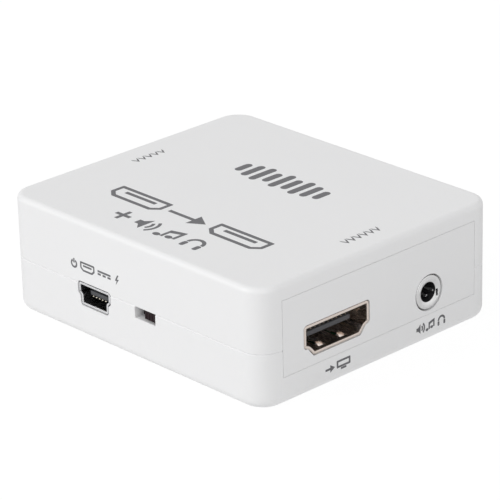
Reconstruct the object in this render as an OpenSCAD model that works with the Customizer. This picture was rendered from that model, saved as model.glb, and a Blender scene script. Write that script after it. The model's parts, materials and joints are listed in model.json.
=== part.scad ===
// Small desktop box that takes the sound out of a digital video line. The picture comes in at the
// -X end and leaves at the +X end beside a 3.5 mm sound jack. Power comes in at the -Y side, next to
// a small slide switch. The origin is the middle of the underside, +Z is up, and sizes are in mm.

/* [Case] */
// Length of the case, from end to end
case_l = 63; // [61:0.5:72]
// Width of the case
case_w = 55; // [53.5:0.5:64]
// Height of the case
case_h = 21.5; // [19.5:0.5:28]
// Thickness of the side walls
wall_t = 2; // [1.6:0.1:2.4]
// Thickness of the floor and of the roof
floor_t = 2; // [1.4:0.1:2.6]
// Radius of the upright corners
corner_r = 4.4; // [3.5:0.1:5.5]
// Radius of the edge round the roof
roof_edge_r = 1; // [0.4:0.1:1.4]
// Radius of the edge round the underside
base_edge_r = 1.8; // [1:0.1:2.4]
// Height of the seam between the two halves
seam_z = 9.9; // [9.6:0.1:11]
// Bevel of each half at the seam
seam_bevel = 0.15; // [0.05:0.01:0.2]
// Height of the rim that keys the halves together
lap_h = 1; // [0.6:0.1:1.6]
// Thickness of that rim
lap_t = 0.8; // [0.5:0.1:1]

/* [End panels] */
// Width of the case on each side of the panel
panel_side = 4.8; // [4.5:0.1:6]
// How far the panel's lower edge lies below the board's top face
panel_drop = 1.05; // [0.8:0.05:1.6]
// Height of the case above the panel
panel_over = 2.85; // [2.3:0.05:4]
// Thickness of the flange behind it
flange_t = 1.2; // [0.8:0.1:1.5]
// How far the flange reaches past each side of the opening
flange_lap = 1.3; // [0.8:0.1:1.6]
// Thickness of the ribs that hold the flange against the wall
rib_t = 1.2; // [0.8:0.1:1.6]
// Width of a rib
rib_w = 3; // [2:0.1:4]

/* [Circuit board] */
// Gap between the board's edge and the walls or panels round it
board_gap = 0.3; // [0.2:0.05:1]
// Thickness of the board
board_t = 1.6; // [1:0.1:2]
// Height of the board's top face above the bench
board_top = 6.2; // [6:0.1:6.6]
// Distance of each peg from the board's edges
peg_inset = 3.5; // [3.1:0.1:3.9]
// Diameter of the posts under the roof and of the pillars on the floor
post_d = 5; // [4.2:0.1:5.6]
// Diameter of the peg at the tip of each post
peg_d = 2.2; // [1.8:0.1:2.6]
// How far each peg reaches into its pillar
peg_grip = 1.8; // [1:0.1:2.4]

/* [Video ports] */
// Width of the metal shell
port_w = 14.9; // [14.5:0.1:15.3]
// Height of the metal shell
port_h = 5.5; // [5.2:0.1:5.8]
// Depth of the metal shell
port_depth = 11.5; // [10.5:0.1:12.5]
// Thickness of the metal shell
port_wall = 0.44; // [0.3:0.02:0.5]
// How far the edges of the flat underside lie in from the shell's sides
port_foot_in = 2.1; // [1.9:0.05:2.4]
// Height at which the shell reaches its full width
port_step_h = 1.6; // [1.3:0.1:1.9]
// Width of the ledge there, on each side
port_ledge = 0.85; // [0.4:0.05:1]
// Outer radius of the shell's corners
port_corner_r = 0.55; // [0.45:0.05:0.8]
// Height of the shell above the board
port_lift = 0.7; // [0.5:0.05:0.9]
// Distance of the outgoing port's flank from the case's -Y side
port_out_flank = 9.7; // [9:0.05:11]
// Distance of the incoming port's middle from the middle of the case
port_in_y = 0; // [-6:0.5:6]
// Width of the tongue inside
tongue_w = 9.9; // [9.6:0.1:10.2]
// Thickness of the tongue
tongue_t = 0.85; // [0.8:0.05:1]
// Height of the middle of the tongue above the shell's underside
tongue_h = 2.85; // [2.6:0.05:2.9]
// Distance of the tongue's tip behind the mouth
tongue_recess = 1.9; // [1.4:0.1:2.4]

/* [Sound jack] */
// Distance of the jack's axis from the case's +Y side
jack_side = 16; // [13.5:0.1:18]
// Height of the jack's axis above the board
jack_axis_h = 2.9; // [2.6:0.05:3.1]
// Bore of the barrel
jack_bore_d = 3.6; // [3.55:0.01:3.7]
// Outer diameter of the barrel
jack_barrel_d = 6; // [5.6:0.1:6.4]
// Length of the body
jack_body_l = 12; // [11:0.1:13]
// Width of the body
jack_body_w = 6.4; // [6:0.1:7]
// Thickness of the springs
jack_spring_t = 0.25; // [0.15:0.05:0.3]

/* [Power port] */
// Width of the metal shell
power_w = 7.9; // [7.6:0.05:8]
// Height of the metal shell
power_h = 3.95; // [3.8:0.05:4.1]
// Depth of the metal shell
power_depth = 9.2; // [8.5:0.1:10]
// Thickness of the metal shell
power_wall = 0.35; // [0.25:0.01:0.4]
// Width of the step in each side
power_ledge = 0.6; // [0.4:0.05:0.8]
// Height of the narrow lower part
power_foot_h = 1.6; // [1.3:0.05:1.8]
// Rise of the slope above it
power_slope_h = 0.55; // [0.4:0.05:0.7]
// Distance of the power port from the middle of the case, along it
power_x = -9.3; // [-11:0.1:-7]

/* [Slide switch] */
// Distance of the switch from the middle of the case, along it
switch_x = 3.6; // [3:0.1:8]
// Length of the switch
switch_l = 8.6; // [8.4:0.1:9.4]
// Depth of the switch
switch_depth = 3.6; // [3.4:0.1:4.2]
// Width of the knob
knob_w = 2.9; // [2.6:0.1:3.3]
// Height of the knob
knob_h = 1.4; // [1.2:0.1:1.5]
// Height of the middle of the knob above the board
knob_axis_h = 2.7; // [2.6:0.05:2.8]
// How far the knob's face lies behind the face of the case
knob_recess = 0.25; // [0.15:0.05:1.2]
// Travel of the knob
knob_travel = 2; // [1.5:0.1:2.1]
// Gap above and below the knob in the window of the case
window_gap = 0.3; // [0.15:0.05:0.5]

/* [Chips] */
// Side of the square video chip
video_chip_side = 10; // [9:0.5:12]
// Leads on each side of the video chip
video_chip_leads = 16; // [8:1:20]
// Length of the sound chip
sound_chip_l = 6.5; // [6:0.1:7.8]
// Width of the sound chip
sound_chip_w = 4.4; // [3.9:0.1:5]
// Leads on each side of the sound chip
sound_chip_leads = 10; // [8:1:10]
// Length of the memory chip
memory_l = 4.9; // [4.6:0.1:5.4]
// Width of the memory chip
memory_w = 3.9; // [3.6:0.1:4.4]
// Length of a regulator
regulator_l = 6.5; // [6:0.1:7]
// Width of a regulator
regulator_w = 3.5; // [3:0.1:4]
// Height of the video chip above the board
chip_h = 1.5; // [1.1:0.1:2]

/* [Small components] */
// Diameter of an electrolytic capacitor
can_d = 4; // [3.5:0.1:5]
// Height of an electrolytic capacitor
can_h = 5.4; // [4.5:0.1:6.5]
// Diameter of the coil
coil_d = 5.2; // [4.5:0.1:6]
// Height of the coil
coil_h = 3; // [2:0.1:4]
// Length of the crystal
crystal_l = 11; // [9:0.1:11.4]
// Width of the crystal
crystal_w = 4.6; // [3.8:0.1:5]
// Height of the crystal
crystal_h = 3.5; // [2.5:0.1:4]
// Length of a small ceramic capacitor or resistor
chip_part_l = 2; // [1.6:0.1:2.4]
// Width of a small ceramic capacitor or resistor
chip_part_w = 1.25; // [0.8:0.05:1.3]

/* [Hidden] */
$fn = 64;

// Clearances: between fixed pieces, round a sliding piece, and the overrun of a cut
fit_gap = 0.1;
slide_gap = 0.1;
over = 0.5;
// Gaps that show: round the end panels, round the video ports and round the power port
panel_gap = 0.05;
port_gap = 0.2;
power_gap = 0.25;
// Distance of the port mouths behind the face that they look out of
mouth_recess = 0.1;

// Ends, sides and hollow of the case
end_x = case_l / 2;
side_y = case_w / 2;
inner_x = end_x - wall_t;
inner_y = side_y - wall_t;
inner_r = corner_r - wall_t;
roof_z = case_h - floor_t;

// End panels: the opening in the case, the flange's place and the ribs behind it
panel_w = case_w - 2 * panel_side;
panel_low = board_top - panel_drop;
panel_h = case_h - panel_low - panel_over;
opening_w = panel_w + 2 * panel_gap;
opening_low = panel_low - panel_gap;
opening_h = panel_h + 2 * panel_gap;
flange_w = opening_w + 2 * flange_lap;
flange_h = roof_z - floor_t - 2 * fit_gap;
flange_x = inner_x - flange_t;
rib_x = flange_x - rib_t;
rib_h = 2.4;
rib_y_shares = [-0.4, 0.4];

// Board, posts and pegs
board_l = 2 * (flange_x - board_gap);
board_w = 2 * (inner_y - board_gap);
board_low = board_top - board_t;
peg_x = board_l / 2 - peg_inset;
peg_y = board_w / 2 - peg_inset;
peg_low = board_low - peg_grip;
peg_chamfer = 0.3;
peg_hole_gap = 0.2;

// Solder legs of the ports: their section, how far they reach below the board, and their holes
leg_w = 1;
leg_t = 0.4;
leg_reach = 0.5;
leg_low = -board_t - leg_reach;
leg_hole_d = 1.4;
pin_w = 0.5;
pin_t = 0.3;
pin_hole_d = 0.9;

// Video port: places of its legs, springs and contacts behind the mouth
port_mouth_x = end_x - mouth_recess;
port_out_y = port_out_flank + port_w / 2 - side_y;
port_leg_front = 5.2;
port_leg_rear = 9.8;
port_back_t = 1.2;
port_block_l = 3.5;
port_spring_w = 1.1;
port_spring_y = 2.45;
port_spring_t = 0.2;
port_spring_root = 6.5;
port_spring_crest = 1.9;
port_spring_tip = 1.25;
port_spring_h = 0.4;
port_spring_drop = 0.25;
contact_t = 0.12;
contact_w = 0.35;
contact_pitch = 1;
contact_foot = 0.9;
contact_setback = 0.4;
upper_contacts = 10;
lower_contacts = 9;

// Sound jack: barrel, spigot and the pockets of its springs, from the mouth inwards
jack_mouth_x = end_x - mouth_recess;
jack_y = side_y - jack_side;
jack_barrel_l = jack_mouth_x - flange_x + 2 * fit_gap;
jack_back = jack_barrel_l + jack_body_l;
jack_spigot_d = 4.6;
jack_spigot_l = 0.8;
jack_bevel = 0.1;
jack_floor_t = 1.2;
jack_hole_gap = 0.3;
jack_body_bore_d = jack_bore_d + 2 * fit_gap;
jack_spring_w = 1.4;
jack_spring_l = 4.6;
jack_tip_place = 9.4;
jack_ring_place = 5.6;
jack_spring_clear = 0.05;
jack_spring_rise = 0.5;
jack_sleeve_place = 6.4;
jack_sleeve_l = 2.2;
jack_leg_y = jack_bore_d / 2 + jack_spring_rise + jack_spring_t / 2;
jack_leg_places = [[jack_tip_place + jack_spring_l - pin_w / 2, jack_leg_y],
    [jack_ring_place + jack_spring_l - pin_w / 2, -jack_leg_y], [jack_sleeve_place, 0]];

// Power port
power_mouth_y = side_y - mouth_recess;
power_leg_front = 3.8;
power_leg_rear = 7.8;
power_corner_r = 0.4;
power_tongue_w = 4.6;
power_tongue_t = 0.8;
power_tongue_h = 2.05;
power_tongue_recess = 1;
power_block_l = 2.2;
power_back_t = 0.8;
power_contacts = 5;
power_pitch = 0.8;
power_contact_w = 0.35;

// Slide switch, from the case's face inwards
sheet_t = 0.3;
switch_front = wall_t + 2 * fit_gap;
terminal_y = switch_front + switch_depth / 2;
carriage_gap = 0.7;
carriage_top_gap = 0.5;
carriage_w = switch_l - 2 * sheet_t - knob_travel - 2 * carriage_gap;
carriage_depth = 1.8;
carriage_h = knob_h + 4 * slide_gap;
terminal_pitch = knob_travel;
terminal_head = 0.1;
wiper_l = 2.8;
wiper_w = 1.2;
wiper_t = 0.2;
wiper_h = 0.55;
base_h = knob_axis_h - carriage_h / 2 - wiper_h - slide_gap / 2 - terminal_head;
switch_h = knob_axis_h + carriage_h / 2 + carriage_top_gap + sheet_t;
slot_w = knob_w + knob_travel + 2 * slide_gap;
slot_h = knob_h + 2 * slide_gap;
window_h = knob_h + 2 * window_gap;

// Chips: stand-off, pins, pitches, and places on the board as shares of its half length and width
chip_stand = 0.1;
chip_pin_t = 0.12;
chip_knee = 0.4;
chip_foot = 0.6;
chip_dot_d = 0.7;
chip_dot_deep = 0.1;
small_chip_h = 1.3;
regulator_h = 1.7;
fine_pitch = 0.5;
fine_pin_w = 0.22;
sound_pitch = 0.6;
memory_leads = 4;
memory_pitch = 1.1;
regulator_pitch = 2.1;
wide_pin_w = 0.42;
regulator_tab_w = 3;
video_chip_shares = [-0.05, 0];
sound_chip_shares = [0.28, 0.56];
memory_shares = [-0.08, 0.62];
regulator_shares = [[-0.6, -0.56], [-0.6, 0.6]];

// Other components and their places, as shares
crystal_shares = [0.4, 0.1];
crystal_base_h = 0.5;
crystal_rim_t = 0.3;
crystal_round_share = 0.45;
can_shares = [[0.06, -0.52], [-0.56, 0.86], [-0.32, 0.86], [0.18, 0.86], [0.42, 0.86]];
can_base_rim = 0.15;
can_base_h = 0.7;
can_cut = 0.8;
can_groove = 0.2;
can_groove_h = 0.6;
coil_shares = [0.3, -0.62];
coil_flange_t = 0.5;
part_end_l = 0.4;
capacitor_h = 1.1;
resistor_h = 0.5;
// Small components stand in rows round the video chip, at the ends of the other chips and by themselves
ring_shares = [-0.36, 0, 0.36];
ring_gap = 0.5;
resistor_shares = [[0.42, -0.8], [0.54, -0.8], [0.62, 0.86], [-0.78, 0.4], [-0.78, -0.4]];
surge_shares = [-0.35, -0.12, 0.12, 0.35];
surge_gap = 0.5;
surge_l = 2;
surge_w = 1.2;
surge_h = 0.9;
fuse_gap = 0.9;
fuse_share = -0.84;
fuse_l = 3.2;
fuse_w = 1.6;
fuse_h = 0.6;
light_shares = [0.6, -0.86];
light_l = 2;
light_w = 1.25;
light_h = 0.4;

// Rectangle from its lower left corner, with corners of radius r
module rounded_rect(size, r) {
    translate([r, 0])
        square([size.x - 2 * r, size.y]);
    translate([0, r])
        square([size.x, size.y - 2 * r]);
    for (x = [r, size.x - r], y = [r, size.y - r])
        translate([x, y])
            circle(r);
}

// Upright plate with rounded corners, centred on the origin
module rounded_plate(l, w, r, h) {
    linear_extrude(h)
        translate([-l / 2, -w / 2])
            rounded_rect([l, w], r);
}

// Runs a section, drawn in Y and Z, along X from place x
module along_x(x, length) {
    translate([x, 0, 0])
        rotate([90, 0, 90])
            linear_extrude(length)
                children();
}

// Runs a section, drawn in X and Z, along Y from place y
module along_y(y, length) {
    translate([0, y + length, 0])
        rotate([90, 0, 0])
            linear_extrude(length)
                children();
}

// Copies its children at the four pegs
module at_pegs() {
    for (x = [-peg_x, peg_x], y = [-peg_y, peg_y])
        translate([x, y, 0])
            children();
}

// Moves its children to a port's mouth. There they face +X, and the board's top is z = 0.
module at_video_out() {
    translate([port_mouth_x, port_out_y, board_top])
        children();
}

module at_video_in() {
    translate([-port_mouth_x, port_in_y, board_top])
        rotate([0, 0, 180])
            children();
}

module at_power() {
    translate([power_x, -power_mouth_y, board_top])
        rotate([0, 0, -90])
            children();
}

// Moves its children to the jack's mouth, facing +X, with the jack's axis as the X axis
module at_jack() {
    translate([jack_mouth_x, jack_y, board_top + jack_axis_h])
        children();
}

// Moves its children to the switch: y = 0 is the face of the case and z = 0 the board's top
module at_switch() {
    translate([switch_x, -side_y, board_top])
        children();
}

// Section of one half of the case: flat below with rounded edges, bevelled at the seam above
module half_section(half_w, high, edge_r) {
    bevel_z = high - seam_bevel;
    translate([-half_w, edge_r])
        square([2 * half_w, bevel_z - edge_r]);
    translate([edge_r - half_w, 0])
        square([2 * (half_w - edge_r), high - seam_bevel]);
    for (side = [-1, 1])
        translate([side * (half_w - edge_r), edge_r])
            circle(edge_r);
    polygon([[-half_w, bevel_z], [half_w, bevel_z],
        [half_w - seam_bevel, high], [seam_bevel - half_w, high]]);
}

// Solid block of one half of the case: two crossing slabs and four turned corners
module half_block(high, edge_r) {
    flat_x = end_x - corner_r;
    flat_y = side_y - corner_r;
    along_x(-flat_x, 2 * flat_x)
        half_section(side_y, high, edge_r);
    along_y(-flat_y, 2 * flat_y)
        half_section(end_x, high, edge_r);
    for (mx = [0, 1], my = [0, 1])
        mirror([mx, 0, 0])
            mirror([0, my, 0])
                translate([flat_x, flat_y, 0])
                    rotate_extrude(angle = 90)
                        intersection() {
                            half_section(corner_r, high, edge_r);
                            square([corner_r, high]);
                        }
}

// Hollow of the case, from the floor to the roof, wider than the walls by grow
module hollow(low, high, grow) {
    translate([0, 0, low])
        rounded_plate(2 * (inner_x + grow), 2 * (inner_y + grow), inner_r + grow, high - low);
}

// Openings for the end panels, through both end walls
module panel_openings() {
    for (side = [-1, 1])
        translate([side * (end_x - wall_t / 2) - wall_t, -opening_w / 2, opening_low])
            cube([2 * wall_t, opening_w, opening_h]);
}

// Section of the power port's shell, in by inset all round, standing on z = 0
module power_section(inset) {
    foot = power_w / 2 - power_ledge - inset;
    half = power_w / 2 - inset;
    slope_low = power_foot_h + inset / 2;
    slope_high = slope_low + power_slope_h;
    r = max(power_corner_r - inset, power_corner_r / 4);
    translate([-foot, inset])
        rounded_rect([2 * foot, slope_high - inset], r);
    polygon([[-foot, slope_low], [foot, slope_low], [half, slope_high], [half, power_h - inset - r],
        [-half, power_h - inset - r], [-half, slope_high]]);
    translate([-half, slope_high])
        rounded_rect([2 * half, power_h - inset - slope_high], r);
}

// Hole for the power port through the wall
module power_opening() {
    at_power()
        along_x(-wall_t - over, 2 * wall_t + over)
            power_section(-power_gap);
}

// Window of the switch, which reaches down from the seam
module switch_window() {
    at_switch()
        translate([-slot_w / 2, -over, knob_axis_h - window_h / 2])
            cube([slot_w, wall_t + 2 * over, window_h]);
}

// Place where the rim stops on each side of the power port and of the switch
module rim_gaps() {
    low_x = power_x - power_w / 2 - wall_t;
    high_x = switch_x + slot_w / 2 + wall_t;
    translate([low_x, -side_y, seam_z])
        cube([high_x - low_x, 2 * wall_t, lap_h + over]);
    for (side = [-1, 1])
        translate([side * inner_x - wall_t, -opening_w / 2 - wall_t, seam_z])
            cube([2 * wall_t, opening_w + 2 * wall_t, lap_h + over]);
}

// Four ribs that stand on the floor and press the end panels' flanges outwards
module panel_ribs(low, high) {
    for (side = [-1, 1], share = rib_y_shares)
        translate([side * (rib_x + rib_t / 2) - rib_t / 2, share * flange_w - rib_w / 2, low])
            cube([rib_t, rib_w, high - low]);
}

module bottom_case() {
    color([0.92, 0.92, 0.93])
        difference() {
            union() {
                difference() {
                    half_block(seam_z, base_edge_r);
                    hollow(floor_t, seam_z + over, 0);
                }
                difference() {
                    hollow(seam_z - lap_h, seam_z + lap_h, lap_t);
                    hollow(seam_z - lap_h - over, seam_z + lap_h + over, 0);
                    rim_gaps();
                }
                at_pegs()
                    translate([0, 0, floor_t / 2])
                        cylinder(d = post_d, h = board_low - floor_t / 2);
                panel_ribs(floor_t / 2, board_low - fit_gap);
            }
            at_pegs()
                translate([0, 0, peg_low - fit_gap])
                    cylinder(d = peg_d + fit_gap, h = board_low - peg_low + over);
            panel_openings();
            power_opening();
            switch_window();
        }
}

module top_cover() {
    color([0.9, 0.9, 0.91]) {
        difference() {
            union() {
                difference() {
                    translate([0, 0, case_h])
                        mirror([0, 0, 1])
                            half_block(case_h - seam_z, roof_edge_r);
                    hollow(seam_z - over, roof_z, 0);
                    difference() {
                        hollow(seam_z - over, seam_z + lap_h + fit_gap, lap_t + fit_gap);
                        rim_gaps();
                    }
                }
                at_pegs()
                    translate([0, 0, board_top])
                        cylinder(d = post_d, h = case_h - floor_t / 2 - board_top);
                panel_ribs(roof_z - rib_h, case_h - floor_t / 2);
            }
            panel_openings();
            power_opening();
            switch_window();
        }
        at_pegs()
            translate([0, 0, peg_low]) {
                cylinder(d1 = peg_d - 2 * peg_chamfer, d2 = peg_d, h = peg_chamfer);
                translate([0, 0, peg_chamfer])
                    cylinder(d = peg_d, h = board_top - peg_low);
            }
    }
}

// End panel in the +X end: the plate that shows, and the flange behind it
module end_panel() {
    plug_x = flange_x + flange_t / 2;
    translate([plug_x, -panel_w / 2, panel_low])
        cube([end_x - plug_x, panel_w, panel_h]);
    intersection() {
        translate([flange_x, -flange_w / 2, floor_t + fit_gap])
            cube([flange_t - fit_gap, flange_w, flange_h]);
        hollow(floor_t, roof_z, -fit_gap);
    }
}

module output_panel() {
    color([0.82, 0.82, 0.83])
        difference() {
            end_panel();
            at_video_out()
                along_x(-port_depth, 2 * port_depth)
                    translate([0, port_lift])
                        port_section(-port_gap);
            at_jack()
                rotate([0, 90, 0])
                    translate([0, 0, -jack_barrel_l - over])
                        cylinder(d = jack_barrel_d + 2 * jack_hole_gap, h = 2 * jack_barrel_l + over);
        }
}

module input_panel() {
    color([0.82, 0.82, 0.83])
        difference() {
            rotate([0, 0, 180])
                end_panel();
            at_video_in()
                along_x(-port_depth, 2 * port_depth)
                    translate([0, port_lift])
                        port_section(-port_gap);
        }
}

// Holes in the board for the solder legs of one port
module leg_holes(places, half) {
    for (x = places, side = [-1, 1])
        translate([-x, side * half, -board_t - over])
            cylinder(d = leg_hole_d, h = board_t + 2 * over);
}

module circuit_board() {
    color([0.05, 0.32, 0.16])
        difference() {
            translate([0, 0, board_low])
                rounded_plate(board_l, board_w, inner_r, board_t);
            at_pegs()
                translate([0, 0, board_low - over])
                    cylinder(d = peg_d + 2 * peg_hole_gap, h = board_t + 2 * over);
            at_video_out()
                leg_holes([port_leg_front, port_leg_rear], port_w / 2 - leg_t / 2);
            at_video_in()
                leg_holes([port_leg_front, port_leg_rear], port_w / 2 - leg_t / 2);
            at_power()
                leg_holes([power_leg_front, power_leg_rear], power_w / 2 - leg_t / 2);
            at_jack()
                for (place = jack_leg_places)
                    translate([-place.x, place.y, -jack_axis_h - board_t - over])
                        cylinder(d = pin_hole_d, h = board_t + 2 * over);
            at_switch()
                for (step = [-1, 0, 1])
                    translate([step * terminal_pitch, terminal_y, -board_t - over])
                        cylinder(d = pin_hole_d, h = board_t + 2 * over);
        }
}

// Section of the video port's shell, in by inset all round, standing on z = 0. The wide upper part
// has rounded corners, and the sides slope in below a small ledge.
module port_section(inset) {
    half = port_w / 2 - inset;
    foot = port_w / 2 - port_foot_in;
    shoulder = port_w / 2 - port_ledge;
    run = shoulder - foot;
    slant = inset * sqrt(run * run + port_step_h * port_step_h) / port_step_h;
    ledge_z = port_step_h + inset;
    r = max(port_corner_r - inset, port_corner_r / 4);
    foot_x = foot - slant + run * inset / port_step_h;
    top_x = foot - slant + run * (ledge_z + r) / port_step_h;
    polygon([[-foot_x, inset], [foot_x, inset], [top_x, ledge_z + r], [-top_x, ledge_z + r]]);
    translate([-half, ledge_z])
        rounded_rect([2 * half, port_h - inset - ledge_z], r);
}

// One spring finger in the shell: rises from the wall at its root, and turns back at its tip
module port_finger() {
    rise = port_spring_h;
    t = port_spring_t;
    along_y(-port_spring_w / 2, port_spring_w)
        polygon([[-port_spring_root, 0], [-port_spring_crest, rise],
            [-port_spring_tip, rise - port_spring_drop], [-port_spring_tip, rise - port_spring_drop + t],
            [-port_spring_crest, rise + t], [-port_spring_root, t]]);
}

module port_shell() {
    difference() {
        along_x(-port_depth, port_depth)
            translate([0, port_lift])
                port_section(0);
        along_x(-port_depth - over, port_depth + 2 * over)
            translate([0, port_lift])
                port_section(port_wall);
    }
    for (side = [-1, 1])
        translate([0, side * port_spring_y, port_lift + port_wall - port_spring_t / 2])
            port_finger();
    for (place = [port_leg_front, port_leg_rear], side = [-1, 1])
        translate([-place - leg_w / 2, side * (port_w / 2 - leg_t / 2) - leg_t / 2, leg_low])
            cube([leg_w, leg_t, port_lift + port_h / 2 - leg_low]);
}

// Path of one contact, in X and Z: a strip along the tongue at height z, a fall behind the block
// and a foot on the board. back is where it falls, measured from the mouth.
module contact_path(tip, z, back, foot) {
    t = contact_t;
    polygon([[-tip, z], [-tip, z + t], [-back - t, z + t], [-back - t, t], [-back - t - foot, t],
        [-back - t - foot, 0], [-back, 0], [-back, z]]);
}

// All contacts of a video port: one row above the tongue and one below it, between each other
module port_contacts() {
    tip = tongue_recess + contact_setback;
    back = port_depth + port_back_t;
    mid = port_lift + tongue_h;
    for (i = [0 : upper_contacts - 1])
        along_y((i - (upper_contacts - 1) / 2) * contact_pitch - contact_w / 2, contact_w)
            contact_path(tip, mid + tongue_t / 2, back, contact_foot);
    for (i = [0 : lower_contacts - 1])
        along_y((i - (lower_contacts - 1) / 2) * contact_pitch - contact_w / 2, contact_w)
            contact_path(tip, mid - tongue_t / 2 - contact_t, back, contact_foot);
}

module port_insulator() {
    difference() {
        union() {
            along_x(-port_depth - port_back_t / 2, port_block_l)
                translate([0, port_lift])
                    port_section(port_wall + fit_gap / 2);
            translate([-port_depth - port_back_t, -port_w / 2 + port_wall, 0])
                cube([port_back_t, port_w - 2 * port_wall, port_lift + port_h - port_wall]);
            translate([-port_depth - port_back_t / 2, -tongue_w / 2, port_lift + tongue_h - tongue_t / 2])
                cube([port_depth + port_back_t / 2 - tongue_recess, tongue_w, tongue_t]);
        }
        port_contacts();
    }
}

module video_out_shell() {
    color([0.8, 0.76, 0.72])
        at_video_out()
            port_shell();
}

module video_out_insulator() {
    color([0.08, 0.08, 0.09])
        at_video_out()
            port_insulator();
}

module video_out_contacts() {
    color([0.85, 0.7, 0.35])
        at_video_out()
            port_contacts();
}

module video_in_shell() {
    color([0.8, 0.76, 0.72])
        at_video_in()
            port_shell();
}

module video_in_insulator() {
    color([0.08, 0.08, 0.09])
        at_video_in()
            port_insulator();
}

module video_in_contacts() {
    color([0.85, 0.7, 0.35])
        at_video_in()
            port_contacts();
}

module jack_barrel() {
    color([0.78, 0.78, 0.8])
        at_jack()
            rotate([0, 90, 0])
                difference() {
                    union() {
                        translate([0, 0, -jack_barrel_l])
                            cylinder(d = jack_barrel_d, h = jack_barrel_l);
                        translate([0, 0, -jack_barrel_l - jack_spigot_l])
                            cylinder(d = jack_spigot_d, h = jack_barrel_l);
                    }
                    translate([0, 0, -jack_barrel_l - jack_spigot_l - over])
                        cylinder(d = jack_bore_d, h = jack_barrel_l + jack_spigot_l + 2 * over);
                    translate([0, 0, -jack_bevel])
                        cylinder(d1 = jack_bore_d, d2 = jack_bore_d + 2 * jack_bevel, h = jack_bevel);
                }
}

// Side spring of the jack: a strip that bows in towards the plug, with its leg. It is on the +Y side.
module jack_side_spring(place) {
    t = jack_spring_t;
    outer = jack_bore_d / 2 + jack_spring_rise;
    inner = jack_bore_d / 2 + jack_spring_clear;
    crest = place + jack_spring_l / 3;
    bend = place + jack_spring_l * 2 / 3;
    translate([0, 0, -jack_spring_w / 2])
        linear_extrude(jack_spring_w)
            polygon([[-place - jack_spring_l, outer], [-bend, outer], [-crest, inner], [-place, outer],
                [-place, outer + t], [-crest, inner + t], [-bend, outer + t],
                [-place - jack_spring_l, outer + t]]);
    translate([-place - jack_spring_l, outer, leg_low - jack_axis_h])
        cube([pin_w, t, jack_axis_h - leg_low]);
}

// Pocket for a side spring and its leg, in the jack's body
module jack_side_pocket(place) {
    gap = fit_gap;
    outer = jack_bore_d / 2 + jack_spring_rise + jack_spring_t + gap;
    translate([-place - jack_spring_l - gap, 0, -jack_spring_w / 2 - gap])
        cube([jack_spring_l + 2 * gap, outer, jack_spring_w + 2 * gap]);
    translate([-place - jack_spring_l - gap, outer - jack_spring_t - 2 * gap, -jack_axis_h - over])
        cube([pin_w + 2 * gap, jack_spring_t + 2 * gap, jack_axis_h + over]);
}

module jack_body() {
    color([0.1, 0.1, 0.11])
        at_jack()
            difference() {
                translate([-jack_back, -jack_body_w / 2, -jack_axis_h])
                    cube([jack_body_l, jack_body_w, 2 * jack_axis_h]);
                rotate([0, 90, 0]) {
                    translate([0, 0, -jack_back + jack_floor_t])
                        cylinder(d = jack_body_bore_d, h = jack_body_l);
                    translate([0, 0, -jack_barrel_l - jack_spigot_l - fit_gap])
                        cylinder(d = jack_spigot_d + fit_gap, h = jack_barrel_l);
                }
                jack_side_pocket(jack_tip_place);
                mirror([0, 1, 0])
                    jack_side_pocket(jack_ring_place);
                translate([-jack_sleeve_place - jack_sleeve_l / 2 - fit_gap, -jack_spring_w / 2 - fit_gap,
                    -jack_bore_d / 2 - jack_spring_clear - jack_spring_t - fit_gap])
                    cube([jack_sleeve_l + 2 * fit_gap, jack_spring_w + 2 * fit_gap, jack_bore_d / 2]);
                translate([-jack_sleeve_place - pin_w / 2 - fit_gap, -pin_t / 2 - fit_gap,
                    -jack_axis_h - over])
                    cube([pin_w + 2 * fit_gap, pin_t + 2 * fit_gap, jack_axis_h]);
            }
}

module jack_tip_spring() {
    color([0.85, 0.72, 0.4])
        at_jack()
            jack_side_spring(jack_tip_place);
}

module jack_ring_spring() {
    color([0.85, 0.72, 0.4])
        at_jack()
            mirror([0, 1, 0])
                jack_side_spring(jack_ring_place);
}

module jack_sleeve_spring() {
    top = -jack_bore_d / 2 - jack_spring_clear;
    color([0.85, 0.72, 0.4])
        at_jack() {
            translate([-jack_sleeve_place - jack_sleeve_l / 2, -jack_spring_w / 2, top - jack_spring_t])
                cube([jack_sleeve_l, jack_spring_w, jack_spring_t]);
            translate([-jack_sleeve_place - pin_w / 2, -pin_t / 2, leg_low - jack_axis_h])
                cube([pin_w, pin_t, jack_axis_h - leg_low + top - jack_spring_t / 2]);
        }
}

module power_port_shell() {
    color([0.82, 0.82, 0.83])
        at_power() {
            difference() {
                along_x(-power_depth, power_depth)
                    power_section(0);
                along_x(-power_depth - over, power_depth + 2 * over)
                    power_section(power_wall);
            }
            for (place = [power_leg_front, power_leg_rear], side = [-1, 1])
                translate([-place - leg_w / 2, side * (power_w / 2 - leg_t / 2) - leg_t / 2, leg_low])
                    cube([leg_w, leg_t, power_h / 2 + power_slope_h + leg_t - leg_low]);
        }
}

// The five contacts of the power port, under its tongue
module power_contact_set() {
    back = power_depth + power_back_t;
    z = power_tongue_h - power_tongue_t / 2 - contact_t;
    for (i = [0 : power_contacts - 1])
        along_y((i - (power_contacts - 1) / 2) * power_pitch - power_contact_w / 2, power_contact_w)
            contact_path(power_tongue_recess + contact_setback, z, back, contact_foot);
}

module power_port_insulator() {
    mid = power_tongue_h;
    color([0.08, 0.08, 0.09])
        at_power()
            difference() {
                union() {
                    along_x(-power_depth - power_back_t / 2, power_block_l)
                        power_section(power_wall + fit_gap / 2);
                    translate([-power_depth - power_back_t, -power_w / 2 + power_wall, 0])
                        cube([power_back_t, power_w - 2 * power_wall, power_h - power_wall]);
                    translate([-power_depth - power_back_t / 2, -power_tongue_w / 2,
                        mid - power_tongue_t / 2])
                        cube([power_depth + power_back_t / 2 - power_tongue_recess, power_tongue_w,
                            power_tongue_t]);
                }
                power_contact_set();
            }
}

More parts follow.
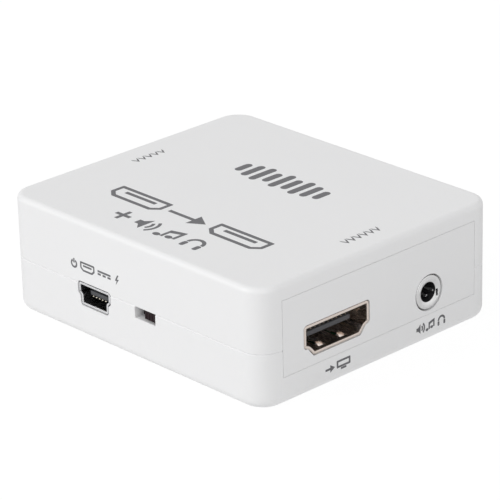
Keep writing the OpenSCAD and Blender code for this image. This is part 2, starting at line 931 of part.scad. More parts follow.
module power_port_contacts() {
    color([0.85, 0.7, 0.35])
        at_power()
            power_contact_set();
}

module switch_frame() {
    color([0.75, 0.75, 0.77])
        at_switch()
            difference() {
                translate([-switch_l / 2, switch_front, 0])
                    cube([switch_l, switch_depth, switch_h]);
                translate([sheet_t - switch_l / 2, switch_front + sheet_t, -over])
                    cube([switch_l - 2 * sheet_t, switch_depth - 2 * sheet_t, switch_h - sheet_t + over]);
                translate([-slot_w / 2, switch_front - over, knob_axis_h - slot_h / 2])
                    cube([slot_w, sheet_t + 2 * over, slot_h]);
            }
}

// The three pins of the switch, with flat heads on the base
module terminal_pins() {
    for (step = [-1, 0, 1])
        translate([step * terminal_pitch, terminal_y, 0]) {
            translate([-pin_w / 2, -pin_t / 2, leg_low])
                cube([pin_w, pin_t, base_h + terminal_head - leg_low]);
            translate([-pin_w, -pin_w, base_h])
                cube([2 * pin_w, 2 * pin_w, terminal_head]);
        }
}

module switch_base() {
    gap = fit_gap / 2;
    color([0.25, 0.16, 0.08])
        at_switch()
            difference() {
                translate([sheet_t + gap - switch_l / 2, switch_front + sheet_t + gap, 0])
                    cube([switch_l - 2 * sheet_t - 2 * gap, switch_depth - 2 * sheet_t - 2 * gap, base_h]);
                terminal_pins();
            }
}

module switch_terminals() {
    color([0.85, 0.72, 0.4])
        at_switch()
            terminal_pins();
}

// Knob and the carriage behind it, at rest at the +X end of their travel
module switch_knob() {
    carriage_y = switch_front + sheet_t + slide_gap;
    color([0.1, 0.07, 0.07])
        at_switch()
            translate([knob_travel / 2, 0, knob_axis_h]) {
                translate([-carriage_w / 2, carriage_y, -carriage_h / 2])
                    cube([carriage_w, carriage_depth, carriage_h]);
                translate([-knob_w / 2, knob_recess, -knob_h / 2])
                    cube([knob_w, carriage_y - knob_recess + carriage_depth / 2, knob_h]);
            }
}

// Spring clip under the carriage: a strip whose two feet slide over the heads of the pins
module switch_wiper() {
    high = knob_axis_h - carriage_h / 2;
    low = high - wiper_h;
    half = wiper_l / 2;
    t = wiper_t;
    color([0.85, 0.72, 0.4])
        at_switch()
            translate([knob_travel / 2, 0, 0])
                along_y(terminal_y - wiper_w / 2, wiper_w)
                    polygon([[-half, low], [-half, high], [half, high], [half, low], [half - t, low],
                        [half - t, high - t], [t - half, high - t], [t - half, low]]);
}

// Moves its children to a place on the board, given as shares of its half length and half width
module on_board(shares) {
    translate([shares.x * board_l / 2, shares.y * board_w / 2, board_top])
        children();
}

// Row of bent pins on the +X side of a chip that is 2 * half wide, leaving it at height exit_z
module pin_row(count, pitch, half, exit_z, w) {
    t = chip_pin_t;
    knee = half + chip_knee;
    for (i = [0 : count - 1])
        along_y((i - (count - 1) / 2) * pitch - w / 2, w)
            polygon([[half, exit_z], [half, exit_z + t], [knee, exit_z + t], [knee, t],
                [knee + chip_foot, t], [knee + chip_foot, 0], [knee - t, 0], [knee - t, exit_z]]);
}

// Two facing rows of pins, on the two long sides of a chip that is w wide and lies along X
module pin_rows(count, pitch, w, exit_z, pin) {
    for (turn = [90, 270])
        rotate([0, 0, turn])
            pin_row(count, pitch, w / 2, exit_z, pin);
}

// Body of a chip, standing clear of the board, with the dot that marks its first pin
module chip_body(l, w, h) {
    difference() {
        translate([-l / 2, -w / 2, chip_stand])
            cube([l, w, h - chip_stand]);
        translate([chip_dot_d - l / 2, chip_dot_d - w / 2, h - chip_dot_deep])
            cylinder(d = chip_dot_d, h = chip_dot_deep + over);
    }
}

module video_chip() {
    color([0.12, 0.12, 0.13])
        on_board(video_chip_shares)
            chip_body(video_chip_side, video_chip_side, chip_h);
}

module video_chip_pins() {
    color([0.75, 0.75, 0.76])
        on_board(video_chip_shares)
            for (turn = [0, 90, 180, 270])
                rotate([0, 0, turn])
                    pin_row(video_chip_leads, fine_pitch, video_chip_side / 2, chip_h / 2, fine_pin_w);
}

module sound_chip() {
    color([0.12, 0.12, 0.13])
        on_board(sound_chip_shares)
            chip_body(sound_chip_l, sound_chip_w, small_chip_h);
}

module sound_chip_pins() {
    color([0.75, 0.75, 0.76])
        on_board(sound_chip_shares)
            pin_rows(sound_chip_leads, sound_pitch, sound_chip_w, small_chip_h / 2, fine_pin_w);
}

module memory_chip() {
    color([0.12, 0.12, 0.13])
        on_board(memory_shares)
            chip_body(memory_l, memory_w, small_chip_h);
}

module memory_pins() {
    color([0.75, 0.75, 0.76])
        on_board(memory_shares)
            pin_rows(memory_leads, memory_pitch, memory_w, small_chip_h / 2, wide_pin_w);
}

module regulators() {
    color([0.12, 0.12, 0.13])
        for (shares = regulator_shares)
            on_board(shares)
                chip_body(regulator_l, regulator_w, regulator_h);
}

// Pins of the regulators: three on one side and a wide tab on the other
module regulator_pins() {
    color([0.75, 0.75, 0.76])
        for (shares = regulator_shares)
            on_board(shares) {
                rotate([0, 0, 270])
                    pin_row(3, regulator_pitch, regulator_w / 2, regulator_h / 2, wide_pin_w);
                rotate([0, 0, 90])
                    pin_row(1, regulator_pitch, regulator_w / 2, regulator_h / 2, regulator_tab_w);
            }
}

module crystal_base() {
    color([0.15, 0.15, 0.16])
        on_board(crystal_shares)
            rounded_plate(crystal_w, crystal_l, crystal_round_share * crystal_w, crystal_base_h);
}

module crystal_can() {
    color([0.8, 0.8, 0.81])
        on_board(crystal_shares)
            translate([0, 0, crystal_base_h]) {
                rounded_plate(crystal_w, crystal_l, crystal_round_share * crystal_w, crystal_rim_t);
                rounded_plate(crystal_w - 2 * crystal_rim_t, crystal_l - 2 * crystal_rim_t,
                    crystal_round_share * crystal_w - crystal_rim_t, crystal_h - crystal_base_h);
            }
}

// Square black bases, with two corners cut, under the electrolytic capacitors
module electrolytic_bases() {
    half = can_d / 2 + can_base_rim;
    color([0.1, 0.1, 0.1])
        for (shares = can_shares)
            on_board(shares)
                linear_extrude(can_base_h)
                    polygon([[-half, -half], [half - can_cut, -half], [half, can_cut - half],
                        [half, half - can_cut], [half - can_cut, half], [-half, half]]);
}

module electrolytic_cans() {
    h = can_h - can_base_h;
    color([0.78, 0.78, 0.8])
        for (shares = can_shares)
            on_board(shares)
                translate([0, 0, can_base_h])
                    rotate_extrude()
                        polygon([[0, 0], [can_d / 2, 0], [can_d / 2, can_groove_h],
                            [can_d / 2 - can_groove, can_groove_h + can_groove],
                            [can_d / 2, can_groove_h + 2 * can_groove], [can_d / 2, h - can_groove],
                            [can_d / 2 - can_groove, h], [0, h]]);
}

// Bobbin of the coil: two flanges and a waist
module coil_core() {
    color([0.2, 0.2, 0.21])
        on_board(coil_shares) {
            cylinder(d = coil_d, h = coil_flange_t);
            cylinder(d = coil_d / 2, h = coil_h);
            translate([0, 0, coil_h - coil_flange_t])
                cylinder(d = coil_d, h = coil_flange_t);
        }
}

module coil_winding() {
    color([0.7, 0.38, 0.2])
        on_board(coil_shares)
            translate([0, 0, coil_flange_t])
                difference() {
                    cylinder(d = coil_d - 2 * coil_flange_t, h = coil_h - 2 * coil_flange_t);
                    translate([0, 0, -over])
                        cylinder(d = coil_d / 2, h = coil_h + 2 * over);
                }
}

// Moves its children to a row of small components on one side of the video chip
module beside_video_chip(turn) {
    out = video_chip_side / 2 + chip_knee + chip_foot + ring_gap + chip_part_w / 2;
    for (share = ring_shares)
        on_board(video_chip_shares)
            rotate([0, 0, turn])
                translate([out, share * video_chip_side, 0])
                    rotate([0, 0, 90])
                        children();
}

// Moves its children to one end of a chip that is l long and stands at these shares of the board
module beside_chip(shares, l, side) {
    on_board(shares)
        translate([side * (l / 2 + ring_gap + chip_part_w / 2), 0, 0])
            rotate([0, 0, 90])
                children();
}

module at_capacitors() {
    for (turn = [90, 180, 270])
        beside_video_chip(turn)
            children();
    beside_chip(sound_chip_shares, sound_chip_l, -1)
        children();
    beside_chip(memory_shares, memory_l, -1)
        children();
    for (shares = regulator_shares)
        beside_chip(shares, regulator_l, 1)
            children();
}

module at_resistors() {
    beside_video_chip(0)
        children();
    for (shares = resistor_shares)
        on_board(shares)
            children();
}

// Middle of a small two-ended component
module part_middle(h) {
    translate([part_end_l - chip_part_l / 2, -chip_part_w / 2, 0])
        cube([chip_part_l - 2 * part_end_l, chip_part_w, h]);
}

// Its two soldered ends
module part_ends(h) {
    for (x = [-chip_part_l / 2, chip_part_l / 2 - part_end_l])
        translate([x, -chip_part_w / 2, 0])
            cube([part_end_l, chip_part_w, h]);
}

module ceramic_capacitors() {
    color([0.72, 0.56, 0.38])
        at_capacitors()
            part_middle(capacitor_h);
}

module capacitor_ends() {
    color([0.75, 0.75, 0.76])
        at_capacitors()
            part_ends(capacitor_h);
}

module resistors() {
    color([0.1, 0.1, 0.11])
        at_resistors()
            part_middle(resistor_h);
}

module resistor_ends() {
    color([0.75, 0.75, 0.76])
        at_resistors()
            part_ends(resistor_h);
}

// Row of small arrays behind a video port, which carry surges to ground
module surge_row() {
    out = port_depth + port_back_t + contact_t + contact_foot + surge_gap;
    for (share = surge_shares)
        translate([-out - surge_w, share * port_w - surge_l / 2, 0])
            cube([surge_w, surge_l, surge_h]);
}

module surge_arrays() {
    color([0.14, 0.14, 0.15]) {
        at_video_out()
            surge_row();
        at_video_in()
            surge_row();
    }
}

module fuse() {
    color([0.2, 0.4, 0.25])
        translate([power_x + power_w / 2 + fuse_gap, fuse_share * board_w / 2 - fuse_l / 2, board_top])
            cube([fuse_w, fuse_l, fuse_h]);
}

module power_light() {
    color([0.9, 0.9, 0.85])
        on_board(light_shares)
            translate([-light_l / 2, -light_w / 2, 0])
                cube([light_l, light_w, light_h]);
}

module light_lens() {
    color([0.9, 0.3, 0.2, 0.6])
        on_board(light_shares)
            translate([0, 0, light_h])
                cylinder(d = light_w, h = light_h);
}

top_cover();
bottom_case();
output_panel();
input_panel();
circuit_board();
video_out_shell();
video_out_insulator();
video_out_contacts();
video_in_shell();
video_in_insulator();
video_in_contacts();
jack_barrel();
jack_body();
jack_tip_spring();
jack_ring_spring();
jack_sleeve_spring();
power_port_shell();
power_port_insulator();
power_port_contacts();
switch_frame();
switch_base();
switch_terminals();
switch_knob();
switch_wiper();
video_chip();
video_chip_pins();
sound_chip();
sound_chip_pins();
memory_chip();
memory_pins();
regulators();
regulator_pins();
crystal_can();
crystal_base();
electrolytic_cans();
electrolytic_bases();
coil_core();
coil_winding();
ceramic_capacitors();
capacitor_ends();
resistors();
resistor_ends();
surge_arrays();
fuse();
power_light();
light_lens();
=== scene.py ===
"""Looks of a small white box that takes the sound out of a digital video line.

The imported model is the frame. Its case, panels, board and small components stay and get their finishes
here. The stamped port shells, their tongues and contacts, the turned jack barrel, the switch's knob and
the coil's wire are made here and stand for the plain solids. Sizes below are in millimetres until a
piece is finished, when it is brought to metres.
"""

import json
import math

import bmesh
import bpy
from mathutils import Matrix, Vector

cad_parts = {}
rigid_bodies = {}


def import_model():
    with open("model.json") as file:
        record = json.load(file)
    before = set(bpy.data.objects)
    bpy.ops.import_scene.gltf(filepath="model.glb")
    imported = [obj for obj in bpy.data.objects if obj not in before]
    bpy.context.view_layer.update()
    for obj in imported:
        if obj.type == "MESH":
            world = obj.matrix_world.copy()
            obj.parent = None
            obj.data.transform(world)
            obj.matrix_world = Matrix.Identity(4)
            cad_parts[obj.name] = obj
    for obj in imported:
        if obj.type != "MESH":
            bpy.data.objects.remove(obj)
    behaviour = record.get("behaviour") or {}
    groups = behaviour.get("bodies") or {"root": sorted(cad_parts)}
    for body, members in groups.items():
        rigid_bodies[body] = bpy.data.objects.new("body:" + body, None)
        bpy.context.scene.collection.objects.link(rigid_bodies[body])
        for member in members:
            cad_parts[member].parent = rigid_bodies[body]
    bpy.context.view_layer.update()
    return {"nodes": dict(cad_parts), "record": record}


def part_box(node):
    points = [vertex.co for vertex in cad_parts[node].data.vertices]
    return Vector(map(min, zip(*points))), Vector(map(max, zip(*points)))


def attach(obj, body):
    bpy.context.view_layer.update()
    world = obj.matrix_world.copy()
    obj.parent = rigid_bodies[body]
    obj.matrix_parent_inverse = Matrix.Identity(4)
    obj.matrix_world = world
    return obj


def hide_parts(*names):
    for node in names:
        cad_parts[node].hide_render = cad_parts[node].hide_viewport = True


MM = 0.001

for thing in list(bpy.data.objects):
    bpy.data.objects.remove(thing)
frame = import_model()


# Finishes


class Nodes:
    """Shader nodes of a material or world, with short calls to add and join them."""

    def __init__(self, owner):
        owner.use_nodes = True
        self.tree = owner.node_tree
        self.tree.nodes.clear()

    def add(self, kind, **settings):
        node = self.tree.nodes.new(kind)
        for key, value in settings.items():
            setattr(node, key, value)
        return node

    def wire(self, start, end):
        self.tree.links.new(start, end)

    def fill(self, socket, value):
        """Gives a socket a number, a colour or the output of another node."""
        if isinstance(value, tuple):
            socket.default_value = (*value, 1.0)
        elif isinstance(value, (int, float)):
            socket.default_value = value
        else:
            self.wire(value, socket)

    def maths(self, operation, *values):
        node = self.add("ShaderNodeMath", operation=operation)
        for socket, value in zip(node.inputs, values):
            self.fill(socket, value)
        return node.outputs[0]

    def split(self, vector):
        """The three parts of a vector, by the names X, Y and Z."""
        parts = self.add("ShaderNodeSeparateXYZ")
        self.wire(vector, parts.inputs[0])
        return parts.outputs

    def either(self, factor, first, second):
        """The first shader where the factor is 0, and the second where it is 1."""
        mix = self.add("ShaderNodeMixShader")
        for socket, value in zip(mix.inputs, (factor, first, second)):
            self.wire(value, socket)
        return mix.outputs[0]


class Finish(Nodes):
    """Node tree of one finish, with calls for the patterns that it uses."""

    def __init__(self, name, colour, rough, metal=0.0):
        self.material = bpy.data.materials.new(name)
        super().__init__(self.material)
        self.material.diffuse_color = (*colour, 1.0)
        self.skin = self.add("ShaderNodeBsdfPrincipled")
        self.skin.inputs["Base Color"].default_value = (*colour, 1.0)
        self.skin.inputs["Roughness"].default_value = rough
        self.skin.inputs["Metallic"].default_value = metal
        self.wire(self.skin.outputs[0], self.add("ShaderNodeOutputMaterial").inputs["Surface"])
        self.spot = self.add("ShaderNodeTexCoord").outputs["Object"]

    def about(self, middle=(0, 0, 0), stretch=(1, 1, 1)):
        """Object coordinates about a point given in millimetres, stretched."""
        mapping = self.add("ShaderNodeMapping", vector_type="TEXTURE")
        mapping.inputs["Location"].default_value = [v * MM for v in middle]
        mapping.inputs["Scale"].default_value = stretch
        self.wire(self.spot, mapping.inputs["Vector"])
        return mapping.outputs[0]

    def speckle(self, size, detail=2.0, at=None):
        """Noise with grains about size millimetres across, from 0 to 1."""
        noise = self.add("ShaderNodeTexNoise")
        noise.inputs["Scale"].default_value = 1 / (size * MM)
        noise.inputs["Detail"].default_value = detail
        self.wire(at or self.spot, noise.inputs["Vector"])
        return noise.outputs[0]

    def spread(self, value, low, high, start=0.3, end=0.7):
        """Brings a value from start..end to low..high."""
        ranged = self.add("ShaderNodeMapRange")
        for socket, number in zip(ranged.inputs, (value, start, end, low, high)):
            self.fill(socket, number)
        return ranged.outputs[0]

    def blend(self, value, first, second):
        """Colour between two others. Each is a colour or the output of a node."""
        mix = self.add("ShaderNodeMix", data_type="RGBA")
        for index, given in ((0, value), (6, first), (7, second)):
            self.fill(mix.inputs[index], given)
        return mix.outputs[2]

    def paint(self, colour):
        self.wire(colour, self.skin.inputs["Base Color"])

    def polish(self, value):
        self.wire(value, self.skin.inputs["Roughness"])

    def relief(self, value, depth, strength=1.0, edge=0.0):
        """Bump of a depth in millimetres, over an edge softened by a radius in millimetres."""
        bump = self.add("ShaderNodeBump")
        bump.inputs["Strength"].default_value = strength
        bump.inputs["Distance"].default_value = depth * MM
        self.wire(value, bump.inputs["Height"])
        if edge:
            soft = self.add("ShaderNodeBevel", samples=6)
            soft.inputs["Radius"].default_value = edge * MM
            self.wire(soft.outputs[0], bump.inputs["Normal"])
        self.wire(bump.outputs[0], self.skin.inputs["Normal"])


def white_moulding(name, shade, edge, grain=0.16):
    """White plastic from a finely eroded mould: faint clouding, a satin grain and soft edges."""
    f = Finish(name, shade, 0.42)
    fine = f.speckle(grain, 3.0)
    f.paint(f.blend(f.speckle(14, 2.0), shade, tuple(c * 0.985 for c in shade)))
    f.polish(f.spread(fine, 0.36, 0.47))
    f.relief(fine, 0.0022, 0.8, edge)
    f.skin.inputs["Subsurface Weight"].default_value = 0.06
    f.skin.inputs["Subsurface Radius"].default_value = (1.0, 0.95, 0.9)
    f.skin.inputs["Subsurface Scale"].default_value = 0.0006
    return f.material


def printed_ink(name, shade):
    """Matt grey pad-printed ink, a little uneven where the film is thin."""
    f = Finish(name, shade, 0.6)
    fine = f.speckle(0.2, 3.0)
    f.paint(f.blend(f.spread(fine, 0, 1), shade, tuple(c * 1.25 for c in shade)))
    f.polish(f.spread(fine, 0.5, 0.68))
    f.relief(fine, 0.001)
    return f.material


def plated_sheet(name, first, second, rough, middle=(0, 0, 0), edge=0.05, painted_shade=None):
    """Rolled and plated sheet: fine rolling lines along X and a patchy tint. Its last argument, if given, holds two
    Ys in metres, between which the colour fades to a grey that is painted shade."""
    f = Finish(name, first, rough, 1.0)
    lines = f.speckle(0.12, 3.0, f.about(middle, (14, 1, 1)))
    tint = f.blend(f.spread(f.speckle(1.3, 2.0), 0, 1), first, second)
    if painted_shade:
        # Painted shade: behind the two Ys the colour turns grey, standing for the shade in the gap round the sheet.
        tint = f.blend(f.spread(f.split(f.spot)["Y"], 0, 1, *painted_shade), tint, (0.32, 0.32, 0.33))
    f.paint(tint)
    f.polish(f.spread(lines, rough - 0.05, rough + 0.1))
    f.relief(lines, 0.0012, 0.7, edge)
    return f.material


def turned_metal(name, shade, rough, middle, dark=(1.79, 2.35), deep=0.2):
    """Turned and plated barrel: fine tool rings round its X axis. Its bore and key slot get painted shade, a
    near-black colour between two radii and deeper than deep, all in millimetres."""
    f = Finish(name, shade, rough, 1.0)
    rings = f.add("ShaderNodeTexWave", wave_type="RINGS", rings_direction="X")
    rings.inputs["Scale"].default_value = 1 / (0.5 * MM)
    rings.inputs["Distortion"].default_value = 0.6
    rings.inputs["Detail"].default_value = 2.0
    f.wire(f.about(middle), rings.inputs["Vector"])
    radius = f.add("ShaderNodeVectorMath", operation="LENGTH")
    f.wire(f.about(middle, (1e6, 1, 1)), radius.inputs[0])
    near = f.maths("COMPARE", radius.outputs["Value"], sum(dark) / 2 * MM, (dark[1] - dark[0]) / 2 * MM)
    inside = f.maths("LESS_THAN", f.split(f.about(middle))["X"], -deep * MM)
    plating_colour = f.blend(f.speckle(0.9, 2.0), shade, tuple(c * 0.93 for c in shade))
    # Painted shade: the bore and key slot, between the two radii and deeper than deep, are coloured near-black.
    f.paint(f.blend(f.maths("MULTIPLY", near, inside), plating_colour, (0.1, 0.1, 0.105)))
    f.polish(f.spread(f.speckle(0.1, 2.0), rough - 0.04, rough + 0.08))
    f.relief(rings.outputs["Fac"], 0.0015, 0.5, 0.03)
    return f.material


def dark_moulding(name, shade, rough, grain=0.12, depth=0.002, edge=0.04, sheen=0.5):
    """Dark moulded plastic or epoxy: fine grain, a little dust-grey in its high spots."""
    f = Finish(name, shade, rough)
    f.skin.inputs["Specular IOR Level"].default_value = sheen
    fine = f.speckle(grain, 3.0)
    f.paint(f.blend(f.spread(fine, 0, 1), shade, tuple(c * 1.35 + 0.004 for c in shade)))
    f.polish(f.spread(f.speckle(0.6, 2.0), rough - 0.06, rough + 0.08))
    f.relief(fine, depth, 0.8, edge)
    return f.material


def gilt_strip(name, shade, rough):
    """Thin gold plate on a springy strip, worn a little paler in places."""
    f = Finish(name, shade, rough, 1.0)
    f.paint(f.blend(f.spread(f.speckle(0.5, 3.0), 0, 1), shade, tuple(min(1, c * 1.1 + 0.03) for c in shade)))
    lines = f.speckle(0.06, 2.0, f.about(stretch=(10, 1, 1)))
    f.polish(f.spread(lines, rough - 0.04, rough + 0.1))
    f.relief(lines, 0.0006, 0.6, 0.02)
    return f.material


def masked_laminate(name):
    """Solder mask over copper tracks: paler, raised tracks in dark green, with a slight gloss."""
    f = Finish(name, (0.02, 0.16, 0.07), 0.3)
    cells = f.add("ShaderNodeTexVoronoi", feature="F1", distance="CHEBYCHEV")
    cells.inputs["Scale"].default_value = 1 / (2.6 * MM)
    f.wire(f.about(stretch=(1, 1, 40)), cells.inputs["Vector"])
    raised = f.spread(f.maths("PINGPONG", cells.outputs["Distance"], 0.09), 0, 1, 0.04, 0.05)
    weave = f.speckle(0.35, 2.0)
    green = f.blend(weave, (0.012, 0.105, 0.045), (0.018, 0.13, 0.055))
    f.paint(f.blend(raised, green, (0.03, 0.21, 0.09)))
    f.polish(f.spread(weave, 0.26, 0.38))
    f.relief(raised, 0.03, 0.5)
    return f.material


def fired_ceramic(name, first, second, rough):
    """Small fired or glazed body, finely speckled."""
    f = Finish(name, first, rough)
    fine = f.speckle(0.08, 3.0)
    f.paint(f.blend(f.spread(fine, 0, 1), first, second))
    f.polish(f.spread(fine, rough - 0.05, rough + 0.1))
    f.relief(fine, 0.003, 0.7, 0.04)
    return f.material


def drawn_can(name):
    """Deep-drawn aluminium can: faint upright drawing lines."""
    f = Finish(name, (0.8, 0.8, 0.82), 0.28, 1.0)
    lines = f.speckle(0.08, 2.0, f.about(stretch=(1, 1, 12)))
    f.paint(f.blend(f.speckle(1.5, 2.0), (0.8, 0.8, 0.82), (0.72, 0.72, 0.75)))
    f.polish(f.spread(lines, 0.22, 0.38))
    f.relief(lines, 0.001, 0.6, 0.06)
    return f.material


def enamelled_wire(name):
    """Copper wire under clear enamel."""
    f = Finish(name, (0.62, 0.24, 0.1), 0.25, 0.85)
    f.skin.inputs["Coat Weight"].default_value = 0.6
    f.skin.inputs["Coat Roughness"].default_value = 0.1
    f.paint(f.blend(f.spread(f.speckle(0.7, 2.0), 0, 1), (0.62, 0.24, 0.1), (0.5, 0.17, 0.07)))
    f.polish(f.spread(f.speckle(0.05, 2.0), 0.2, 0.34))
    return f.material


def tinted_lens(name):
    """Clear red resin over the small light."""
    f = Finish(name, (0.8, 0.12, 0.08), 0.12)
    f.skin.inputs["Transmission Weight"].default_value = 0.7
    f.skin.inputs["IOR"].default_value = 1.52
    fine = f.speckle(0.15, 2.0)
    f.paint(f.blend(fine, (0.8, 0.12, 0.08), (0.7, 0.09, 0.06)))
    f.polish(f.spread(fine, 0.08, 0.18))
    return f.material


WHITE = (0.845, 0.845, 0.85)
board_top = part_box("circuit_board")[1].z / MM
jack_low, jack_high = (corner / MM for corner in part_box("jack_barrel"))
power_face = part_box("power_port_shell")[0].y
jack_spot = (jack_high.x, (jack_low.y + jack_high.y) / 2, (jack_low.z + jack_high.z) / 2)
finishes = {
    "cover_plastic": white_moulding("white cover plastic", WHITE, 0.05),
    "case_plastic": white_moulding("white case plastic", WHITE, 0.05),
    "panel_plastic": white_moulding("white panel plastic", (0.835, 0.835, 0.84), 0.04),
    "board_laminate": masked_laminate("masked board"),
    "port_metal": plated_sheet("warm plated port sheet", (0.92, 0.82, 0.75), (0.86, 0.76, 0.69), 0.2),
    "port_plastic": dark_moulding("grey-black port plastic", (0.055, 0.056, 0.062), 0.5),
    "contact_metal": gilt_strip("pale gilt contact strip", (0.72, 0.66, 0.54), 0.26),
    "barrel_metal": turned_metal("turned nickel barrel", (0.86, 0.86, 0.86), 0.42, jack_spot),
    # The power sheet turns grey a little behind its front face: painted shade in the gap round the port.
    "power_metal": plated_sheet("bright plated power sheet", (0.92, 0.92, 0.93), (0.85, 0.85, 0.87), 0.26,
                                painted_shade=(power_face + 0.1 * MM, power_face + 0.25 * MM)),
    # The switch's metal frame is coloured near-black: painted shade where it sits in the shaded window.
    "sheet_metal": plated_sheet("dull switch sheet", (0.15, 0.15, 0.16), (0.11, 0.11, 0.12), 0.4),
    "base_plastic": dark_moulding("brown pressed laminate", (0.14, 0.07, 0.03), 0.55, 0.2),
    "knob_plastic": dark_moulding("black knob plastic", (0.012, 0.004, 0.006), 0.5, 0.1, sheen=0.2),
    "chip_plastic": dark_moulding("chip epoxy", (0.03, 0.03, 0.033), 0.5, 0.07, 0.003),
    "pin_metal": plated_sheet("tinned leads", (0.72, 0.72, 0.73), (0.6, 0.6, 0.62), 0.3, edge=0.02),
    "can_metal": drawn_can("drawn can"),
    "ferrite": fired_ceramic("ferrite", (0.035, 0.035, 0.038), (0.06, 0.06, 0.065), 0.55),
    "winding_copper": enamelled_wire("enamelled copper wire"),
    "capacitor_ceramic": fired_ceramic("tan capacitor body", (0.45, 0.3, 0.17), (0.55, 0.38, 0.23), 0.4),
    "resistor_black": fired_ceramic("black resistor glaze", (0.02, 0.02, 0.022), (0.035, 0.035, 0.038), 0.3),
    "fuse_green": dark_moulding("green fuse body", (0.05, 0.2, 0.08), 0.45),
    "light_ceramic": fired_ceramic("white light body", (0.8, 0.8, 0.75), (0.86, 0.86, 0.82), 0.4),
    "lens_resin": tinted_lens("red lens resin"),
}
ink = printed_ink("grey printed ink", (0.115, 0.115, 0.122))
for part in frame["record"]["subparts"]:
    node = frame["nodes"][part["node"]]
    node.data.materials.clear()
    node.data.materials.append(finishes[part["material_slot"]])


# Sections and meshes


def rounded_loop(corners, step=12.0):
    """Closed line through corners (across, up, radius), each rounded in steps of a few degrees."""
    loop = []
    count = len(corners)
    for i, (x, y, r) in enumerate(corners):
        here = Vector((x, y))
        before = Vector(corners[i - 1][:2]) - here
        after = Vector(corners[(i + 1) % count][:2]) - here
        if not r:
            loop.append(here)
            continue
        a, b = before.normalized(), after.normalized()
        half = a.angle(b) / 2
        run = r / math.tan(half)
        middle = here + (a + b).normalized() * (r / math.sin(half))
        start, end = here + a * run - middle, here + b * run - middle
        turn = start.angle_signed(end)
        steps = max(2, round(abs(math.degrees(turn)) / step))
        for k in range(steps + 1):
            loop.append(middle + start @ Matrix.Rotation(turn * k / steps, 2))
    return loop


def dense_loop(loop, gap, stops=()):
    """The same loop with points no more than gap apart, and at the stops across its flat floor."""
    points = []
    for i, p in enumerate(loop):
        q = loop[(i + 1) % len(loop)]
        steps = max(1, math.ceil((q - p).length / gap))
        shares = [k / steps for k in range(steps)]
        if abs(p.y - q.y) < 1e-6 and p.y < 1e-6 and abs(q.x - p.x) > 1:
            shares = sorted([0.0] + [(s - p.x) / (q.x - p.x) for s in stops])
        points += [p.lerp(q, s) for s in shares]
    return points


def shape(mesh_maker):
    """Runs a function on a new bmesh and returns the finished mesh."""
    work = bmesh.new()
    mesh_maker(work)
    bmesh.ops.remove_doubles(work, verts=work.verts, dist=1e-5)
    bmesh.ops.recalc_face_normals(work, faces=work.faces)
    mesh = bpy.data.meshes.new("shape")
    work.to_mesh(mesh)
    work.free()
    return mesh


def prism(loop, low, high):
    """Closed block with this Y-Z section, from x = low to x = high."""

    def make(work):
        near = [work.verts.new((low, p[0], p[1])) for p in loop]
        far = [work.verts.new((high, p[0], p[1])) for p in loop]
        work.faces.new(near)
        work.faces.new(far)
        for i in range(len(loop)):
            j = (i + 1) % len(loop)
            work.faces.new((near[i], near[j], far[j], far[i]))

    return shape(make)


def brick(low, high):
    """Block between two corners."""
    (x0, y0, z0), (x1, y1, z1) = low, high
    return prism([(y0, z0), (y1, z0), (y1, z1), (y0, z1)], x0, x1)


def curved(points, per_span=5):
    """Smooth line through points, for a bent strip."""
    line = []
    for i in range(len(points) - 1):
        p0, p1 = points[max(i - 1, 0)], points[i]
        p2, p3 = points[i + 1], points[min(i + 2, len(points) - 1)]
        for k in range(per_span):
            t = k / per_span
            line.append(tuple(0.5 * (2 * b + (c - a) * t + (2 * a - 5 * b + 4 * c - d) * t * t
                                     + (3 * b - a - 3 * c + d) * t ** 3)
                              for a, b, c, d in zip(p0, p1, p2, p3)))
    line.append(tuple(points[-1]))
    return line


def strip(line, thick, width, ends=(1.0, 1.0)):
    """Bent strip of constant thickness along an X-Z line, as wide as width and narrower at its ends."""
    flat = [Vector((p[0], p[1])) for p in line]

    def make(work):
        rows = []
        for i, p in enumerate(flat):
            way = (flat[min(i + 1, len(flat) - 1)] - flat[max(i - 1, 0)]).normalized()
            side = Vector((-way.y, way.x)) * thick / 2
            share = i / (len(flat) - 1)
            w = width / 2 * min(1, ends[0] + share * 6, ends[1] + (1 - share) * 6)
            rows.append([work.verts.new((q.x, y, q.y)) for q, y in
                         ((p - side, -w), (p - side, w), (p + side, w), (p + side, -w))])
        banded(work, rows)
        work.faces.new(rows[0])
        work.faces.new(rows[-1])

    return shape(make)


def lathe(profile, steps=96):
    """Ring turned round the X axis from a closed profile of (x, radius)."""

    def make(work):
        rings = []
        for k in range(steps):
            a = 2 * math.pi * k / steps
            rings.append([work.verts.new((x, r * math.cos(a), r * math.sin(a))) for x, r in profile])
        banded(work, rings + rings[:1])

    return shape(make)


def banded(work, rows, skip=None):
    """Faces between rows of vertices that each close on themselves, but for those that skip picks."""
    for i, (a, b) in enumerate(zip(rows, rows[1:])):
        for j in range(len(a)):
            k = (j + 1) % len(a)
            if not (skip and skip(i, j)):
                work.faces.new((a[j], a[k], b[k], b[j]))


def worked(mesh, *modifiers):
    """The mesh after modifiers, each a (type, settings) pair."""
    obj = bpy.data.objects.new("work", mesh)
    bpy.context.scene.collection.objects.link(obj)
    for kind, settings in modifiers:
        modifier = obj.modifiers.new(kind.title(), kind)
        for key, value in settings.items():
            setattr(modifier, key, value)
    made = bpy.data.meshes.new_from_object(obj.evaluated_get(bpy.context.evaluated_depsgraph_get()))
    bpy.data.objects.remove(obj)
    return made


def softened(mesh, width, segments=2, angle=40):
    return worked(mesh, ("BEVEL", dict(width=width, segments=segments, limit_method="ANGLE",
                                       angle_limit=math.radians(angle), harden_normals=False)))


def moved(mesh, matrix):
    copy = mesh.copy()
    copy.transform(matrix)
    return copy


def joined(meshes):
    work = bmesh.new()
    for mesh in meshes:
        work.from_mesh(mesh)
    mesh = bpy.data.meshes.new("joined")
    work.to_mesh(mesh)
    work.free()
    return mesh


